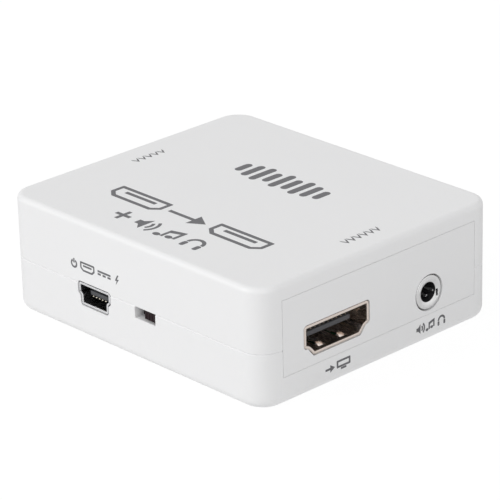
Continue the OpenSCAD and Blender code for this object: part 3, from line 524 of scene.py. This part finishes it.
def finished(name, mesh, slot, place, replaced, body="housing", smooth=35):
    """Puts a mesh in millimetres at its place, and makes it a piece that stands for CAD nodes."""
    made = moved(mesh, Matrix.Diagonal((MM, MM, MM, 1)) @ place)
    made.name = name
    made.materials.clear()
    made.materials.append(finishes[slot] if slot in finishes else ink)
    obj = bpy.data.objects.new(name, made)
    bpy.context.scene.collection.objects.link(obj)
    made.polygons.foreach_set("use_smooth", [True] * len(made.polygons))
    made.set_sharp_from_angle(angle=math.radians(smooth))
    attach(obj, body)
    if replaced:
        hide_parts(*replaced)


# Trees for what repeats


def socket(tree, name, kind, value=None):
    made = tree.interface.new_socket(name, in_out="INPUT", socket_type=kind)
    if value is not None:
        made.default_value = value
    return made


def row_tree():
    """A row of copies of one piece: Count of them, each a Step on from the last."""
    tree = bpy.data.node_groups.new("row of pieces", "GeometryNodeTree")
    tree.interface.new_socket("Row", in_out="OUTPUT", socket_type="NodeSocketGeometry")
    socket(tree, "Piece", "NodeSocketGeometry")
    socket(tree, "Count", "NodeSocketInt", 5)
    socket(tree, "First place", "NodeSocketVector")
    socket(tree, "Step", "NodeSocketVector")
    socket(tree, "Finish", "NodeSocketMaterial")
    given = tree.nodes.new("NodeGroupInput")
    line = tree.nodes.new("GeometryNodeMeshLine")
    copies = tree.nodes.new("GeometryNodeInstanceOnPoints")
    real = tree.nodes.new("GeometryNodeRealizeInstances")
    coat = tree.nodes.new("GeometryNodeSetMaterial")
    result = tree.nodes.new("NodeGroupOutput")
    for start, end in (
        (given.outputs["Count"], line.inputs["Count"]),
        (given.outputs["First place"], line.inputs["Start Location"]),
        (given.outputs["Step"], line.inputs["Offset"]),
        (line.outputs["Mesh"], copies.inputs["Points"]),
        (given.outputs["Piece"], copies.inputs["Instance"]),
        (copies.outputs["Instances"], real.inputs["Geometry"]),
        (real.outputs["Geometry"], coat.inputs["Geometry"]),
        (given.outputs["Finish"], coat.inputs["Material"]),
        (coat.outputs["Geometry"], result.inputs["Row"]),
    ):
        tree.links.new(start, end)
    return tree


def coil_tree():
    """Wire wound in one layer: Turns of a wire of Wire radius, at Coil radius, over Height."""
    tree = bpy.data.node_groups.new("coil of wire", "GeometryNodeTree")
    tree.interface.new_socket("Coil", in_out="OUTPUT", socket_type="NodeSocketGeometry")
    socket(tree, "Base", "NodeSocketGeometry")
    socket(tree, "Turns", "NodeSocketFloat", 8.0)
    socket(tree, "Coil radius", "NodeSocketFloat", 2.0)
    socket(tree, "Height", "NodeSocketFloat", 1.8)
    socket(tree, "Wire radius", "NodeSocketFloat", 0.11)
    socket(tree, "Finish", "NodeSocketMaterial")
    given = tree.nodes.new("NodeGroupInput")
    spiral = tree.nodes.new("GeometryNodeCurveSpiral")
    spiral.inputs["Resolution"].default_value = 40
    ring = tree.nodes.new("GeometryNodeCurvePrimitiveCircle")
    ring.inputs["Resolution"].default_value = 10
    wire = tree.nodes.new("GeometryNodeCurveToMesh")
    wire.inputs["Fill Caps"].default_value = True
    real = tree.nodes.new("GeometryNodeRealizeInstances")
    coat = tree.nodes.new("GeometryNodeSetMaterial")
    result = tree.nodes.new("NodeGroupOutput")
    for start, end in (
        (given.outputs["Turns"], spiral.inputs["Rotations"]),
        (given.outputs["Coil radius"], spiral.inputs["Start Radius"]),
        (given.outputs["Coil radius"], spiral.inputs["End Radius"]),
        (given.outputs["Height"], spiral.inputs["Height"]),
        (given.outputs["Wire radius"], ring.inputs["Radius"]),
        (spiral.outputs["Curve"], wire.inputs["Curve"]),
        (ring.outputs["Curve"], wire.inputs["Profile Curve"]),
        (wire.outputs["Mesh"], real.inputs["Geometry"]),
        (real.outputs["Geometry"], coat.inputs["Geometry"]),
        (given.outputs["Finish"], coat.inputs["Material"]),
        (coat.outputs["Geometry"], result.inputs["Coil"]),
    ):
        tree.links.new(start, end)
    return tree


def grown(mesh, tree, **values):
    """The mesh that a tree makes from this one, with its inputs set by name (_ for a space)."""
    obj = bpy.data.objects.new("grown", mesh)
    bpy.context.scene.collection.objects.link(obj)
    modifier = obj.modifiers.new("Grown", "NODES")
    modifier.node_group = tree
    names = {s.name: s.identifier for s in tree.interface.items_tree if s.in_out == "INPUT"}
    for key, value in values.items():
        modifier[names[key.replace("_", " ")]] = value
    made = bpy.data.meshes.new_from_object(obj.evaluated_get(bpy.context.evaluated_depsgraph_get()))
    bpy.data.objects.remove(obj)
    return made


row = row_tree()
coil = coil_tree()


def row_of(mesh, count, pitch, slot):
    """Count copies of a mesh side by side across Y, about the middle."""
    return grown(mesh, row, Count=count, First_place=(0.0, -(count - 1) / 2 * pitch, 0.0),
                 Step=(0.0, pitch, 0.0), Finish=finishes[slot])


# Video ports, in their own frame: mouth at x = 0 facing +X, board's top at z = 0

VIDEO_SECTION = [(7.45, 5.5, 0.6), (7.45, 1.74, 0.35), (6.45, 1.3, 0.9), (5.3, 0.0, 0.5),
                 (-5.3, 0.0, 0.5), (-6.45, 1.3, 0.9), (-7.45, 1.74, 0.35), (-7.45, 5.5, 0.6)]
VIDEO_LIFT = 0.7
VIDEO_DEPTH = 11.5
VIDEO_WALL = 0.44
SLOT_MIDDLE = 2.45
SLOT_HALF = 0.8
SLOT_NEAR, SLOT_FAR = -0.85, -7.0


def inset(corners, by):
    """Corners of the section, moved in by a distance along both neighbouring sides."""
    moved_in = []
    for i, (x, y, r) in enumerate(corners):
        here = Vector((x, y))
        a = (here - Vector(corners[i - 1][:2])).normalized()
        b = (Vector(corners[(i + 1) % len(corners)][:2]) - here).normalized()
        normal = (Vector((a.y, -a.x)) + Vector((b.y, -b.x))).normalized()
        reach = by / max(0.3, normal.dot(Vector((a.y, -a.x))))
        inner = here + normal * reach
        bend = a.x * b.y - a.y * b.x
        moved_in.append((inner.x, inner.y, max(0.08, r - by if bend < 0 else r + by)))
    return moved_in


def tube(loop, places, skip=None):
    """Open skin of one Y-Z section, with a row of vertices at each place along X."""
    return shape(lambda work: banded(work, [[work.verts.new((x, p.x, p.y)) for p in loop] for x in places], skip))


def stamped(skin, middle_z, wall, edge):
    """Gives an open skin its wall, inwards, and rounds the edges of the sheet."""
    outwards = sum(p.normal.z * (p.center.z - middle_z) > 0 for p in skin.polygons)
    if outwards < len(skin.polygons) * 0.3:
        skin.flip_normals()
    return worked(skin, ("SOLIDIFY", dict(thickness=wall, offset=-1.0, use_even_offset=True)),
                  ("BEVEL", dict(width=edge, segments=3, limit_method="ANGLE", angle_limit=math.radians(55))))


def solder_legs(depths, across, top):
    """Flat legs of a shell, two on each side, which go down through the board."""
    legs = []
    for side in (-1, 1):
        for depth in depths:
            leg = brick((-depth - 0.5, -0.2, -2.1), (-depth + 0.5, 0.2, top))
            legs.append(moved(softened(leg, 0.08), Matrix.Translation((0, side * across, 0))))
    return legs


def video_shell():
    """Stamped shell with two springs in its floor, bent up out of slots, and four solder legs."""
    stops = [s * SLOT_MIDDLE + e * SLOT_HALF for s in (-1, 1) for e in (-1, 1)]
    loop = dense_loop(rounded_loop(VIDEO_SECTION), 0.6, stops)
    places = [0.0, -0.3, SLOT_NEAR] + [SLOT_NEAR + (SLOT_FAR - SLOT_NEAR) * k / 8 for k in range(1, 9)]
    places += [-8.5, -10.0, -VIDEO_DEPTH]

    def in_slot(i, j):
        middle = (loop[j] + loop[(j + 1) % len(loop)]) / 2
        across = abs(abs(middle.x) - SLOT_MIDDLE) < SLOT_HALF and middle.y < 0.01
        return across and SLOT_FAR - 0.01 < places[i + 1] and places[i] < SLOT_NEAR + 0.01

    skin = tube([p + Vector((0, VIDEO_LIFT)) for p in loop], places, in_slot)
    floor = VIDEO_LIFT + VIDEO_WALL / 2
    line = curved([(SLOT_FAR + 0.05, floor), (-5.6, floor + 0.06), (-3.9, floor + 0.26), (-2.8, floor + 0.48),
                   (-2.3, floor + 0.52), (-1.95, floor + 0.38), (-1.5, floor + 0.06), (-1.35, floor - 0.06)])
    spring = softened(strip(line, 0.2, 1.1, (1.0, 0.8)), 0.05, 2, 50)
    springs = [moved(spring, Matrix.Translation((0, side * SLOT_MIDDLE, 0))) for side in (-1, 1)]
    return joined([stamped(skin, 3, VIDEO_WALL, 0.11)] + springs + solder_legs((5.2, 9.8), 7.25, 3.4))


TONGUE_MIDDLE = VIDEO_LIFT + 2.85
TONGUE_TIP = -1.9
TONGUE_HALF = 4.95
TONGUE_HALF_THICK = 0.42
NOSE = 0.45


def grooved_section(half_w, half_h, middle, upper, lower, pitch, groove_w, groove_d):
    """Section of a tongue with grooves for contacts in its upper and lower faces."""
    loop = [(-half_w, middle - half_h)]
    for i in range(lower):
        y = (i - (lower - 1) / 2) * pitch
        loop += [(y - groove_w / 2, middle - half_h), (y - groove_w / 2, middle - half_h + groove_d),
                 (y + groove_w / 2, middle - half_h + groove_d), (y + groove_w / 2, middle - half_h)]
    loop += [(half_w, middle - half_h), (half_w, middle + half_h)]
    for i in reversed(range(upper)):
        y = (i - (upper - 1) / 2) * pitch
        loop += [(y + groove_w / 2, middle + half_h), (y + groove_w / 2, middle + half_h - groove_d),
                 (y - groove_w / 2, middle + half_h - groove_d), (y - groove_w / 2, middle + half_h)]
    loop += [(-half_w, middle + half_h)]
    return loop


def tongue_nose(tip, back, half_w, half_h, middle, slope):
    """Front end of a tongue, with its four edges sloped."""

    def make(work):
        face, full, rear = ([work.verts.new((x, y * (half_w - less), middle + z * (half_h - less)))
                             for y, z in ((-1, -1), (1, -1), (1, 1), (-1, 1))]
                            for x, less in ((tip, slope), (tip - slope, 0.0), (back, 0.0)))
        work.faces.new(face)
        work.faces.new(rear)
        banded(work, [face, full, rear])

    return softened(shape(make), 0.05, 2, 20)


def video_insulator():
    """Black block with the grooved tongue, and the wall behind that the contacts fall through."""
    inner = [p + Vector((0, VIDEO_LIFT)) for p in rounded_loop(inset(VIDEO_SECTION, VIDEO_WALL + 0.05))]
    block = softened(prism(inner, -12.1, -8.6), 0.06, 1)
    wall = softened(brick((-12.7, -7.0, 0.0), (-11.5, 7.0, 5.75)), 0.12)
    section = grooved_section(TONGUE_HALF, TONGUE_HALF_THICK, TONGUE_MIDDLE, 10, 9, 1.0, 0.5, 0.12)
    body = prism(section, -12.1, TONGUE_TIP - NOSE)
    nose = tongue_nose(TONGUE_TIP, TONGUE_TIP - NOSE, TONGUE_HALF, TONGUE_HALF_THICK, TONGUE_MIDDLE, 0.05)
    return joined([block, wall, body, nose])


def contact_line(tip, z, back, foot):
    """Line of one contact: along the tongue, down behind the wall and out on its foot."""
    return [(tip, z), (-6.0, z), (back + 0.25, z), (back + 0.07, z - 0.05), (back, z - 0.22),
            (back, 0.3), (back - 0.05, 0.12), (back - 0.2, 0.06), (back - foot, 0.06)]


def video_contacts():
    """Ten contacts over the tongue and nine under it."""
    rows = []
    for rise, count in ((0.38, 10), (-0.38, 9)):
        line = contact_line(-2.45, TONGUE_MIDDLE + rise, -12.76, 0.9)
        rows.append(row_of(softened(strip(line, 0.12, 0.35, (0.7, 1)), 0.03, 1, 50), count, 1.0, "contact_metal"))
    return joined(rows)


def port_place(node, outwards):
    """Matrix from a port's own frame to the row frame, in millimetres, from its CAD shell."""
    low, high = (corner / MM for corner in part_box(node))
    middle = (low + high) / 2
    if outwards == "+X":
        return Matrix.Translation((high.x, middle.y, board_top))
    if outwards == "-X":
        return Matrix.Translation((low.x, middle.y, board_top)) @ Matrix.Rotation(math.pi, 4, "Z")
    return Matrix.Translation((middle.x, low.y, board_top)) @ Matrix.Rotation(-math.pi / 2, 4, "Z")


video_parts = {"shell": (video_shell(), "port_metal"), "insulator": (video_insulator(), "port_plastic"),
               "contacts": (video_contacts(), "contact_metal")}
for end, outwards in (("video_out", "+X"), ("video_in", "-X")):
    place = port_place(end + "_shell", outwards)
    for kind, (mesh, slot) in video_parts.items():
        finished(f"{end}_{kind}_stamped" if kind == "shell" else f"{end}_{kind}_detailed",
                 mesh, slot, place, [f"{end}_{kind}"])


# Power port, in its own frame

POWER_SECTION = [(3.95, 3.95, 0.5), (3.95, 2.15, 0.3), (3.35, 1.6, 0.35), (3.35, 0.0, 0.4),
                 (-3.35, 0.0, 0.4), (-3.35, 1.6, 0.35), (-3.95, 2.15, 0.3), (-3.95, 3.95, 0.5)]
POWER_TONGUE = 2.05
POWER_TONGUE_HALF = 2.3


def power_shell():
    """Stamped five-pin shell with a step in each side, and four solder legs."""
    loop = dense_loop(rounded_loop(POWER_SECTION), 0.5)
    skin = tube(loop, (0.0, -0.3, -2.0, -5.0, -9.2))
    return joined([stamped(skin, 2, 0.35, 0.09)] + solder_legs((3.8, 7.8), 3.75, 2.6))


def power_insulator():
    """Black block with the tongue that carries the five contacts on its underside."""
    inner = rounded_loop(inset(POWER_SECTION, 0.4))
    block = softened(prism(inner, -9.6, -7.4), 0.05, 1)
    wall = softened(brick((-10.0, -3.6, 0.0), (-9.2, 3.6, 3.6)), 0.1)
    section = grooved_section(POWER_TONGUE_HALF, 0.4, POWER_TONGUE, 0, 5, 0.8, 0.45, 0.1)
    body = prism(section, -9.6, -1.35)
    nose = tongue_nose(-1.0, -1.35, POWER_TONGUE_HALF, 0.4, POWER_TONGUE, 0.12)
    return joined([block, wall, body, nose])


def power_contacts():
    """Five contacts under the tongue, whose ends show as small steps at its tip."""
    low = POWER_TONGUE - 0.43
    line = [(-1.0, low - 0.09), (-1.5, low - 0.12), (-2.2, low - 0.04), (-4.0, low)]
    line = curved(line, 4) + contact_line(-5.0, low, -10.06, 0.9)[1:]
    return row_of(softened(strip(line, 0.14, 0.38, (0.8, 1)), 0.03, 1, 50), 5, 0.8, "contact_metal")


power_place = port_place("power_port_shell", "-Y")
finished("power_port_shell_stamped", power_shell(), "power_metal", power_place, ["power_port_shell"])
finished("power_port_insulator_detailed", power_insulator(), "port_plastic", power_place, ["power_port_insulator"])
finished("power_port_contacts_detailed", power_contacts(), "contact_metal", power_place, ["power_port_contacts"])


# Sound jack, in its own frame: the X axis is the jack's axis

COLLAR_DEPTH = 0.8
JACK_LENGTH = jack_high.x - jack_low.x - COLLAR_DEPTH
BORE = 1.8
BARREL = 3.0


def barrel():
    """Turned barrel: rounded rim, a fine ring in its face, a shallow dish, a bore and a key slot."""
    edge = 0.1
    rim = [(edge * (math.sin(a) - 1), BARREL + edge * (math.cos(a) - 1))
           for a in (math.radians(d) for d in (0, 22, 45, 68, 90))]
    face = [(0.0, 2.5), (-0.03, 2.47), (-0.03, 2.39), (0.0, 2.36), (-0.12, 1.88), (-0.15, 1.82), (-0.2, BORE)]
    back = -JACK_LENGTH - COLLAR_DEPTH
    tail = [(back, BORE), (back, 2.22), (back + 0.08, 2.3), (-JACK_LENGTH, 2.3)]
    turned = lathe([(-JACK_LENGTH, BARREL)] + rim + face + tail, 128)
    key = bpy.data.objects.new("key", brick((-1.3, 1.86, -1.25), (0.5, 2.3, 0.0)))
    bpy.context.scene.collection.objects.link(key)
    parts = [worked(turned, ("BOOLEAN", dict(operation="DIFFERENCE", object=key, solver="EXACT")))]
    bpy.data.objects.remove(key)
    for start, end, half, degrees in ((-2.7, -0.6, 0.2, -12), (-2.9, -1.5, 0.22, -53)):
        spring = softened(brick((start, 1.7, -half), (end, 1.78, half)), 0.03, 1)
        parts.append(moved(spring, Matrix.Rotation(math.radians(degrees), 4, "X")))
    return joined(parts)


jack_place = Matrix.Translation(jack_spot)
finished("jack_barrel_turned", barrel(), "barrel_metal", jack_place, ["jack_barrel"], smooth=25)


# Knob of the switch, which rides on the slider

knob_low, knob_high = (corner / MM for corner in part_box("switch_knob"))


KNOB_HALF_W, KNOB_HALF_H = 1.45, 0.7
RIBS, RIB_PITCH = 4, 0.7


def knob():
    """Carriage, and the knob with four grip ribs across its face."""
    middle = (knob_low + knob_high) / 2
    face = knob_low.y
    carriage = softened(brick((knob_low.x, knob_high.y - 1.8, knob_low.z), knob_high), 0.12)
    body = softened(brick((middle.x - KNOB_HALF_W, face + 0.08, middle.z - KNOB_HALF_H),
                          (middle.x + KNOB_HALF_W, knob_high.y - 0.9, middle.z + KNOB_HALF_H)), 0.1, 3)
    rib = softened(brick((-0.16, face, middle.z - 0.6), (0.16, face + 0.4, middle.z + 0.6)), 0.08, 3)
    ribs = grown(rib, row, Count=RIBS, First_place=(middle.x - (RIBS - 1) / 2 * RIB_PITCH, 0.0, 0.0),
                 Step=(RIB_PITCH, 0.0, 0.0), Finish=finishes["knob_plastic"])
    return joined([carriage, body, ribs])


finished("switch_knob_ribbed", knob(), "knob_plastic", Matrix.Identity(4), ["switch_knob"], body="switch_slider")


# Coil: a ring of inner turns with the outer layer of wire wound on it

coil_low, coil_high = (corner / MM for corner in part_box("coil_winding"))
coil_middle = (coil_low + coil_high) / 2
WIRE = 0.12
CORE = 1.35
turn_radius = (coil_high.x - coil_low.x) / 2 - WIRE
inner_turns = lathe([(coil_low.z, CORE), (coil_high.z, CORE), (coil_high.z, turn_radius),
                     (coil_low.z, turn_radius)], 48)
inner_turns.transform(Matrix.Rotation(-math.pi / 2, 4, "Y"))
outer_turns = grown(bpy.data.meshes.new("seed"), coil, Turns=8.0, Coil_radius=turn_radius,
                    Height=coil_high.z - coil_low.z - 2 * WIRE, Wire_radius=WIRE, Finish=finishes["winding_copper"])
outer_turns.transform(Matrix.Translation((0, 0, coil_low.z + WIRE)))
finished("coil_winding_wound", joined([inner_turns, outer_turns]), "winding_copper",
         Matrix.Translation((coil_middle.x, coil_middle.y, 0)), ["coil_winding"])


# Prints: plain signs in grey ink, drawn in millimetres in their own flat frame


def box_loop(x, y, w, h, r=0.0):
    return rounded_loop([(x, y, r), (x + w, y, r), (x + w, y + h, r), (x, y + h, r)], 18)


def frame_loops(x, y, w, h, line, r):
    return [box_loop(x, y, w, h, r), box_loop(x + line, y + line, w - 2 * line, h - 2 * line, max(0.02, r - line))]


def ring_loops(x, y, r, line, start=0, end=360):
    """Ring, or a band of one between two angles."""
    steps = max(6, int(abs(end - start) / 9))
    angles = [math.radians(start + (end - start) * k / steps) for k in range(steps + 1)]
    outer = [(x + r * math.cos(a), y + r * math.sin(a)) for a in angles]
    inner = [(x + (r - line) * math.cos(a), y + (r - line) * math.sin(a)) for a in angles]
    if end - start >= 360:
        return [outer[:-1], inner[:-1]]
    return [outer + inner[::-1]]


def arrow_loop(x, y, length, line, head):
    """Arrow from (x, y) to the right."""
    half = ((0, line / 2), (length - head, line / 2), (length - head, head * 0.62))
    return [(x + p, y - q) for p, q in half] + [(x + length, y)] + [(x + p, y + q) for p, q in reversed(half)]


def shifted(loops, x, y):
    return [[(p[0] + x, p[1] + y) for p in loop] for loop in loops]


def level_bars(width, height):
    """Bars of a sound wave, about a middle line."""
    shares = (0.6, 0.86, 1.0, 0.7, 1.0, 0.78, 1.0, 0.84, 0.62)
    pitch = width / len(shares)
    bar = pitch * 0.62
    return [box_loop(i * pitch + (pitch - bar) / 2, height * (1 - s) / 2, bar, height * s, bar / 2 - 0.01)
            for i, s in enumerate(shares)]


def socket_sign(width, height, line):
    """Outline of a flat socket with cut lower corners, and the tongue in it."""
    cut, r = height * 0.32, 0.25
    outer = [(0, height, r), (0, cut, r), (cut * 1.2, 0, r), (width - cut * 1.2, 0, r), (width, cut, r),
             (width, height, r)]
    inner = inset([(x, y, r) for x, y, r in outer], -line)
    if min(p[1] for p in inner) < 0:
        inner = inset([(x, y, r) for x, y, r in outer], line)
    return [rounded_loop(outer, 18), rounded_loop([(x, y, 0.08) for x, y, _ in inner], 18),
            box_loop(width * 0.2, height * 0.5, width * 0.6, line, 0.1)]


def plus_sign(size, line):
    a, b = (size - line) / 2, (size + line) / 2
    return [[(a, 0), (b, 0), (b, a), (size, a), (size, b), (b, b), (b, size), (a, size), (a, b), (0, b), (0, a),
             (a, a)]]


def speaker_sign(size, line):
    """Loudspeaker with two waves."""
    cone = [(0, size * 0.32), (size * 0.24, size * 0.32), (size * 0.55, 0), (size * 0.55, size),
            (size * 0.24, size * 0.68), (0, size * 0.68)]
    return [cone] + ring_loops(size * 0.45, size / 2, size * 0.45, line, -42, 42) + \
        ring_loops(size * 0.45, size / 2, size * 0.72, line, -46, 46)


def note_sign(size, line):
    """Two joined notes."""
    left, right = size * 0.3, size * 0.92
    beam = [(left - line, size * 0.78), (right, size), (right, size * 0.2), (right - line, size * 0.2),
            (right - line, size * 0.72), (left, size * 0.56), (left, size * 0.1), (left - line, size * 0.1)]
    heads = [[(x + 0.19 * size * math.cos(a), y + 0.14 * size * math.sin(a))
              for a in (2 * math.pi * k / 20 for k in range(20))]
             for x, y in ((left - line - 0.2 * size, size * 0.13), (right - line - 0.2 * size, size * 0.23))]
    return [beam] + heads


def headphone_sign(size, line):
    """Headphones: a bow and two ear pads."""
    bow = ring_loops(size / 2, size * 0.48, size * 0.48, line, 0, 180)
    pads = [box_loop(size * x, size * 0.02, size * 0.24, size * 0.42, size * 0.09) for x in (0, 0.76)]
    return bow + pads


def screen_sign(width, height, line):
    """Flat screen on a foot."""
    lift = height * 0.24
    foot = box_loop(width * 0.3, 0, width * 0.4, line, 0.02)
    stem = box_loop(width * 0.46, line + 0.03, width * 0.08, lift - line - 0.06, 0.0)
    return frame_loops(0, lift, width, height - lift, line, 0.14) + [foot, stem]


def power_ring_sign(size, line):
    return ring_loops(size / 2, size * 0.46, size * 0.46, line, 118, 422) + \
        [box_loop(size / 2 - line / 2, size * 0.52, line, size * 0.48, line * 0.4)]


def direct_current_sign(width, height, line):
    """Full line over three dashes."""
    dash = width * 0.24
    return [box_loop(0, height * 0.62, width, line, 0.02)] + \
        [box_loop(k * (width - dash) / 2, height * 0.3, dash, line, 0.02) for k in range(3)]


def bolt_sign(height):
    return [[(x * height, y * height) for x, y in
             ((0.32, 1.0), (0.0, 0.42), (0.22, 0.42), (0.08, 0.0), (0.52, 0.6), (0.28, 0.6), (0.5, 1.0))]]


def pass_sign(width, height, line, count):
    """Row of chevrons that point down, for the way that the signal goes."""
    pitch = width / count
    half = pitch * 0.42
    return [[(x - half, height), (x, line * 1.3), (x + half, height), (x + half, height - line * 1.3), (x, 0),
             (x - half, height - line * 1.3)] for x in ((k + 0.5) * pitch for k in range(count))]


def printed(name, loops, origin, along, up, film=0.012, sunk=0.004):
    """Film of ink with these outlines, a little sunk in. origin is on the face, along and up are unit directions."""
    flat = bpy.data.curves.new("sign", "CURVE")
    flat.dimensions, flat.fill_mode, flat.extrude = "2D", "BOTH", film / 2
    for loop in loops:
        line = flat.splines.new("POLY")
        line.points.add(len(loop) - 1)
        for point, p in zip(line.points, loop):
            point.co = (p[0], p[1], 0, 1)
        line.use_cyclic_u = True
    holder = bpy.data.objects.new("sign", flat)
    bpy.context.scene.collection.objects.link(holder)
    mesh = bpy.data.meshes.new_from_object(holder.evaluated_get(bpy.context.evaluated_depsgraph_get()))
    bpy.data.objects.remove(holder)
    work = bmesh.new()
    work.from_mesh(mesh)
    bmesh.ops.remove_doubles(work, verts=work.verts, dist=1e-5)
    bmesh.ops.recalc_face_normals(work, faces=work.faces)
    work.to_mesh(mesh)
    work.free()
    a, b = Vector(along), Vector(up)
    out = a.cross(b)
    turn = Matrix((a, b, out)).transposed().to_4x4()
    place = Matrix.Translation(Vector(origin) + out * (film / 2 - sunk)) @ turn
    finished(name, mesh, "ink", place, [], smooth=30)


cover_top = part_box("top_cover")[1].z / MM
end_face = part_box("output_panel")[1].x / MM
side_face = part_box("bottom_case")[0].y / MM
X, Y, Z = (1, 0, 0), (0, 1, 0), (0, 0, 1)
printed("print_sound_wave", level_bars(21.6, 6.3), (-11.0, 5.1, cover_top), X, Y)
printed("print_socket_pair",
        shifted(socket_sign(12.8, 4.4, 0.8), -18.7, -16.2) + shifted(socket_sign(12.8, 4.4, 0.8), 6.0, -16.2)
        + [arrow_loop(-4.6, -14.0, 9.0, 0.8, 3.0)], (0, 0, cover_top), X, Y)
printed("print_plus_sound",
        shifted(plus_sign(3.5, 0.8), -10.6, -22.4) + shifted(speaker_sign(4.1, 0.6), -5.2, -22.8)
        + shifted(note_sign(4.1, 0.65), 1.5, -22.8) + shifted(headphone_sign(4.1, 0.7), 7.0, -22.8),
        (0, 0, cover_top), X, Y)
printed("print_way_out", pass_sign(8.7, 1.9, 0.5, 6), (27.5, -3.95, cover_top), Y, (-1, 0, 0))
printed("print_way_in", pass_sign(7.4, 1.7, 0.45, 5), (-25.2, -3.1, cover_top), Y, (-1, 0, 0))
printed("print_screen", [arrow_loop(0.0, 0.9, 2.2, 0.4, 1.1)] + shifted(screen_sign(3.2, 1.8, 0.37), 2.6, 0),
        (end_face, -13.2, 2.15), Y, Z)
printed("print_sound", shifted(speaker_sign(1.8, 0.32), 0, 0) + shifted(note_sign(1.85, 0.34), 2.75, 0)
        + shifted(headphone_sign(1.9, 0.38), 5.2, 0), (end_face, 8.4, 2.15), Y, Z)
printed("print_power", shifted(power_ring_sign(1.8, 0.36), 0.1, 0) + shifted(socket_sign(3.7, 1.75, 0.34), 2.6, 0)
        + shifted(direct_current_sign(3.3, 1.6, 0.36), 7.1, 0.05) + shifted(bolt_sign(1.9), 11.5, 0),
        (-15.2, side_face, 12.4), X, Z)


# Floor, lamps and camera


def stage_floor():
    """Pale floor, clear from below. Under the case it is clear to bounced light, so that the underside is lit."""
    low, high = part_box("bottom_case")
    middle, half = (low + high) / 2, (high - low) / 2
    reach, margin = 3.0, 1.0 * MM
    mesh = bpy.data.meshes.new("floor")
    mesh.from_pydata([(x * reach, y * reach, 0) for x, y in ((-1, -1), (1, -1), (1, 1), (-1, 1))], [], [(0, 1, 2, 3)])
    floor = bpy.data.objects.new("floor", mesh)
    bpy.context.scene.collection.objects.link(floor)
    material = bpy.data.materials.new("pale floor")
    n = Nodes(material)
    seen = n.add("ShaderNodeLightPath").outputs["Is Camera Ray"]
    below = n.add("ShaderNodeNewGeometry").outputs["Backfacing"]
    spot = n.split(n.add("ShaderNodeTexCoord").outputs["Object"])
    under = n.maths("MULTIPLY", n.maths("COMPARE", spot["X"], middle.x, half.x + margin),
                    n.maths("COMPARE", spot["Y"], middle.y, half.y + margin))
    bounced = n.maths("MULTIPLY", under, n.maths("SUBTRACT", 1.0, seen))
    matt, faint = n.add("ShaderNodeBsdfDiffuse"), n.add("ShaderNodeBsdfDiffuse")
    matt.inputs["Color"].default_value = (0.8, 0.8, 0.8, 1)
    faint.inputs["Color"].default_value = (0.14, 0.14, 0.14, 1)
    glow = n.add("ShaderNodeEmission")
    glow.inputs["Strength"].default_value = 0.9
    pale = n.add("ShaderNodeAddShader")
    n.wire(glow.outputs[0], pale.inputs[0])
    n.wire(faint.outputs[0], pale.inputs[1])
    solid = n.either(seen, matt.outputs[0], pale.outputs[0])
    clear = n.add("ShaderNodeBsdfTransparent").outputs[0]
    skin = n.either(n.maths("MAXIMUM", below, bounced), solid, clear)
    n.wire(skin, n.add("ShaderNodeOutputMaterial").inputs["Surface"])
    mesh.materials.append(material)


def lamp(name, place, size, power):
    """Round lamp that looks at the middle of the box. Metres and watts."""
    light = bpy.data.lights.new(name, "AREA")
    light.shape, light.size, light.energy = "DISK", size, power
    obj = bpy.data.objects.new(name, light)
    obj.location = place
    obj.rotation_euler = (Vector((0, 0, 10 * MM)) - Vector(place)).to_track_quat("-Z", "Y").to_euler()
    bpy.context.scene.collection.objects.link(obj)


def studio():
    """White world: soft light, and full white where it is seen or mirrored."""
    world = bpy.data.worlds.new("studio")
    bpy.context.scene.world = world
    n = Nodes(world)
    rays = n.add("ShaderNodeLightPath").outputs
    mirrored = n.maths("MAXIMUM", rays["Is Glossy Ray"], rays["Is Transmission Ray"])
    skies = []
    for strength in (0.68, 1.0):
        sky = n.add("ShaderNodeBackground")
        sky.inputs["Color"].default_value = (1, 1, 1, 1)
        sky.inputs["Strength"].default_value = strength
        skies.append(sky.outputs[0])
    n.wire(n.either(n.maths("MAXIMUM", mirrored, rays["Is Camera Ray"]), *skies),
           n.add("ShaderNodeOutputWorld").inputs["Surface"])
    lamp("key from the switch side", (-0.5, -1.05, 0.6), 0.75, 5.7)
    lamp("fill from the near corner", (0.66, -0.34, 0.26), 0.45, 0.85)


CAMERA_AZIMUTH, CAMERA_HEIGHT, CAMERA_ROLL = 46.918, 23.17, -1.494
CAMERA_LENS = 211.4
CAMERA_SHIFT = (0.051, 0.42, 505.969)  # right, up and back from the middle of the case


def camera():
    """Camera where the photograph was taken from, found by fitting the case's outline."""
    data = bpy.data.cameras.new("camera")
    data.sensor_width, data.lens = 36.0, CAMERA_LENS
    data.clip_start, data.clip_end = 0.01, 20
    obj = bpy.data.objects.new("camera", data)
    bpy.context.scene.collection.objects.link(obj)
    azimuth, height, roll = (math.radians(v) for v in (CAMERA_AZIMUTH, CAMERA_HEIGHT, CAMERA_ROLL))
    back = Vector((math.sin(azimuth) * math.cos(height), -math.cos(azimuth) * math.cos(height), math.sin(height)))
    flat = Vector((0, 0, 1)).cross(back).normalized()
    over = back.cross(flat)
    right = math.cos(roll) * flat + math.sin(roll) * over
    up = -math.sin(roll) * flat + math.cos(roll) * over
    spot = Vector((0, 0, 10.75)) + CAMERA_SHIFT[0] * right + CAMERA_SHIFT[1] * up + CAMERA_SHIFT[2] * back
    obj.matrix_world = Matrix.Translation(spot * MM) @ Matrix((right, up, back)).transposed().to_4x4()
    bpy.context.scene.camera = obj


stage_floor()
studio()
camera()
bpy.context.scene.view_settings.view_transform = "Standard"
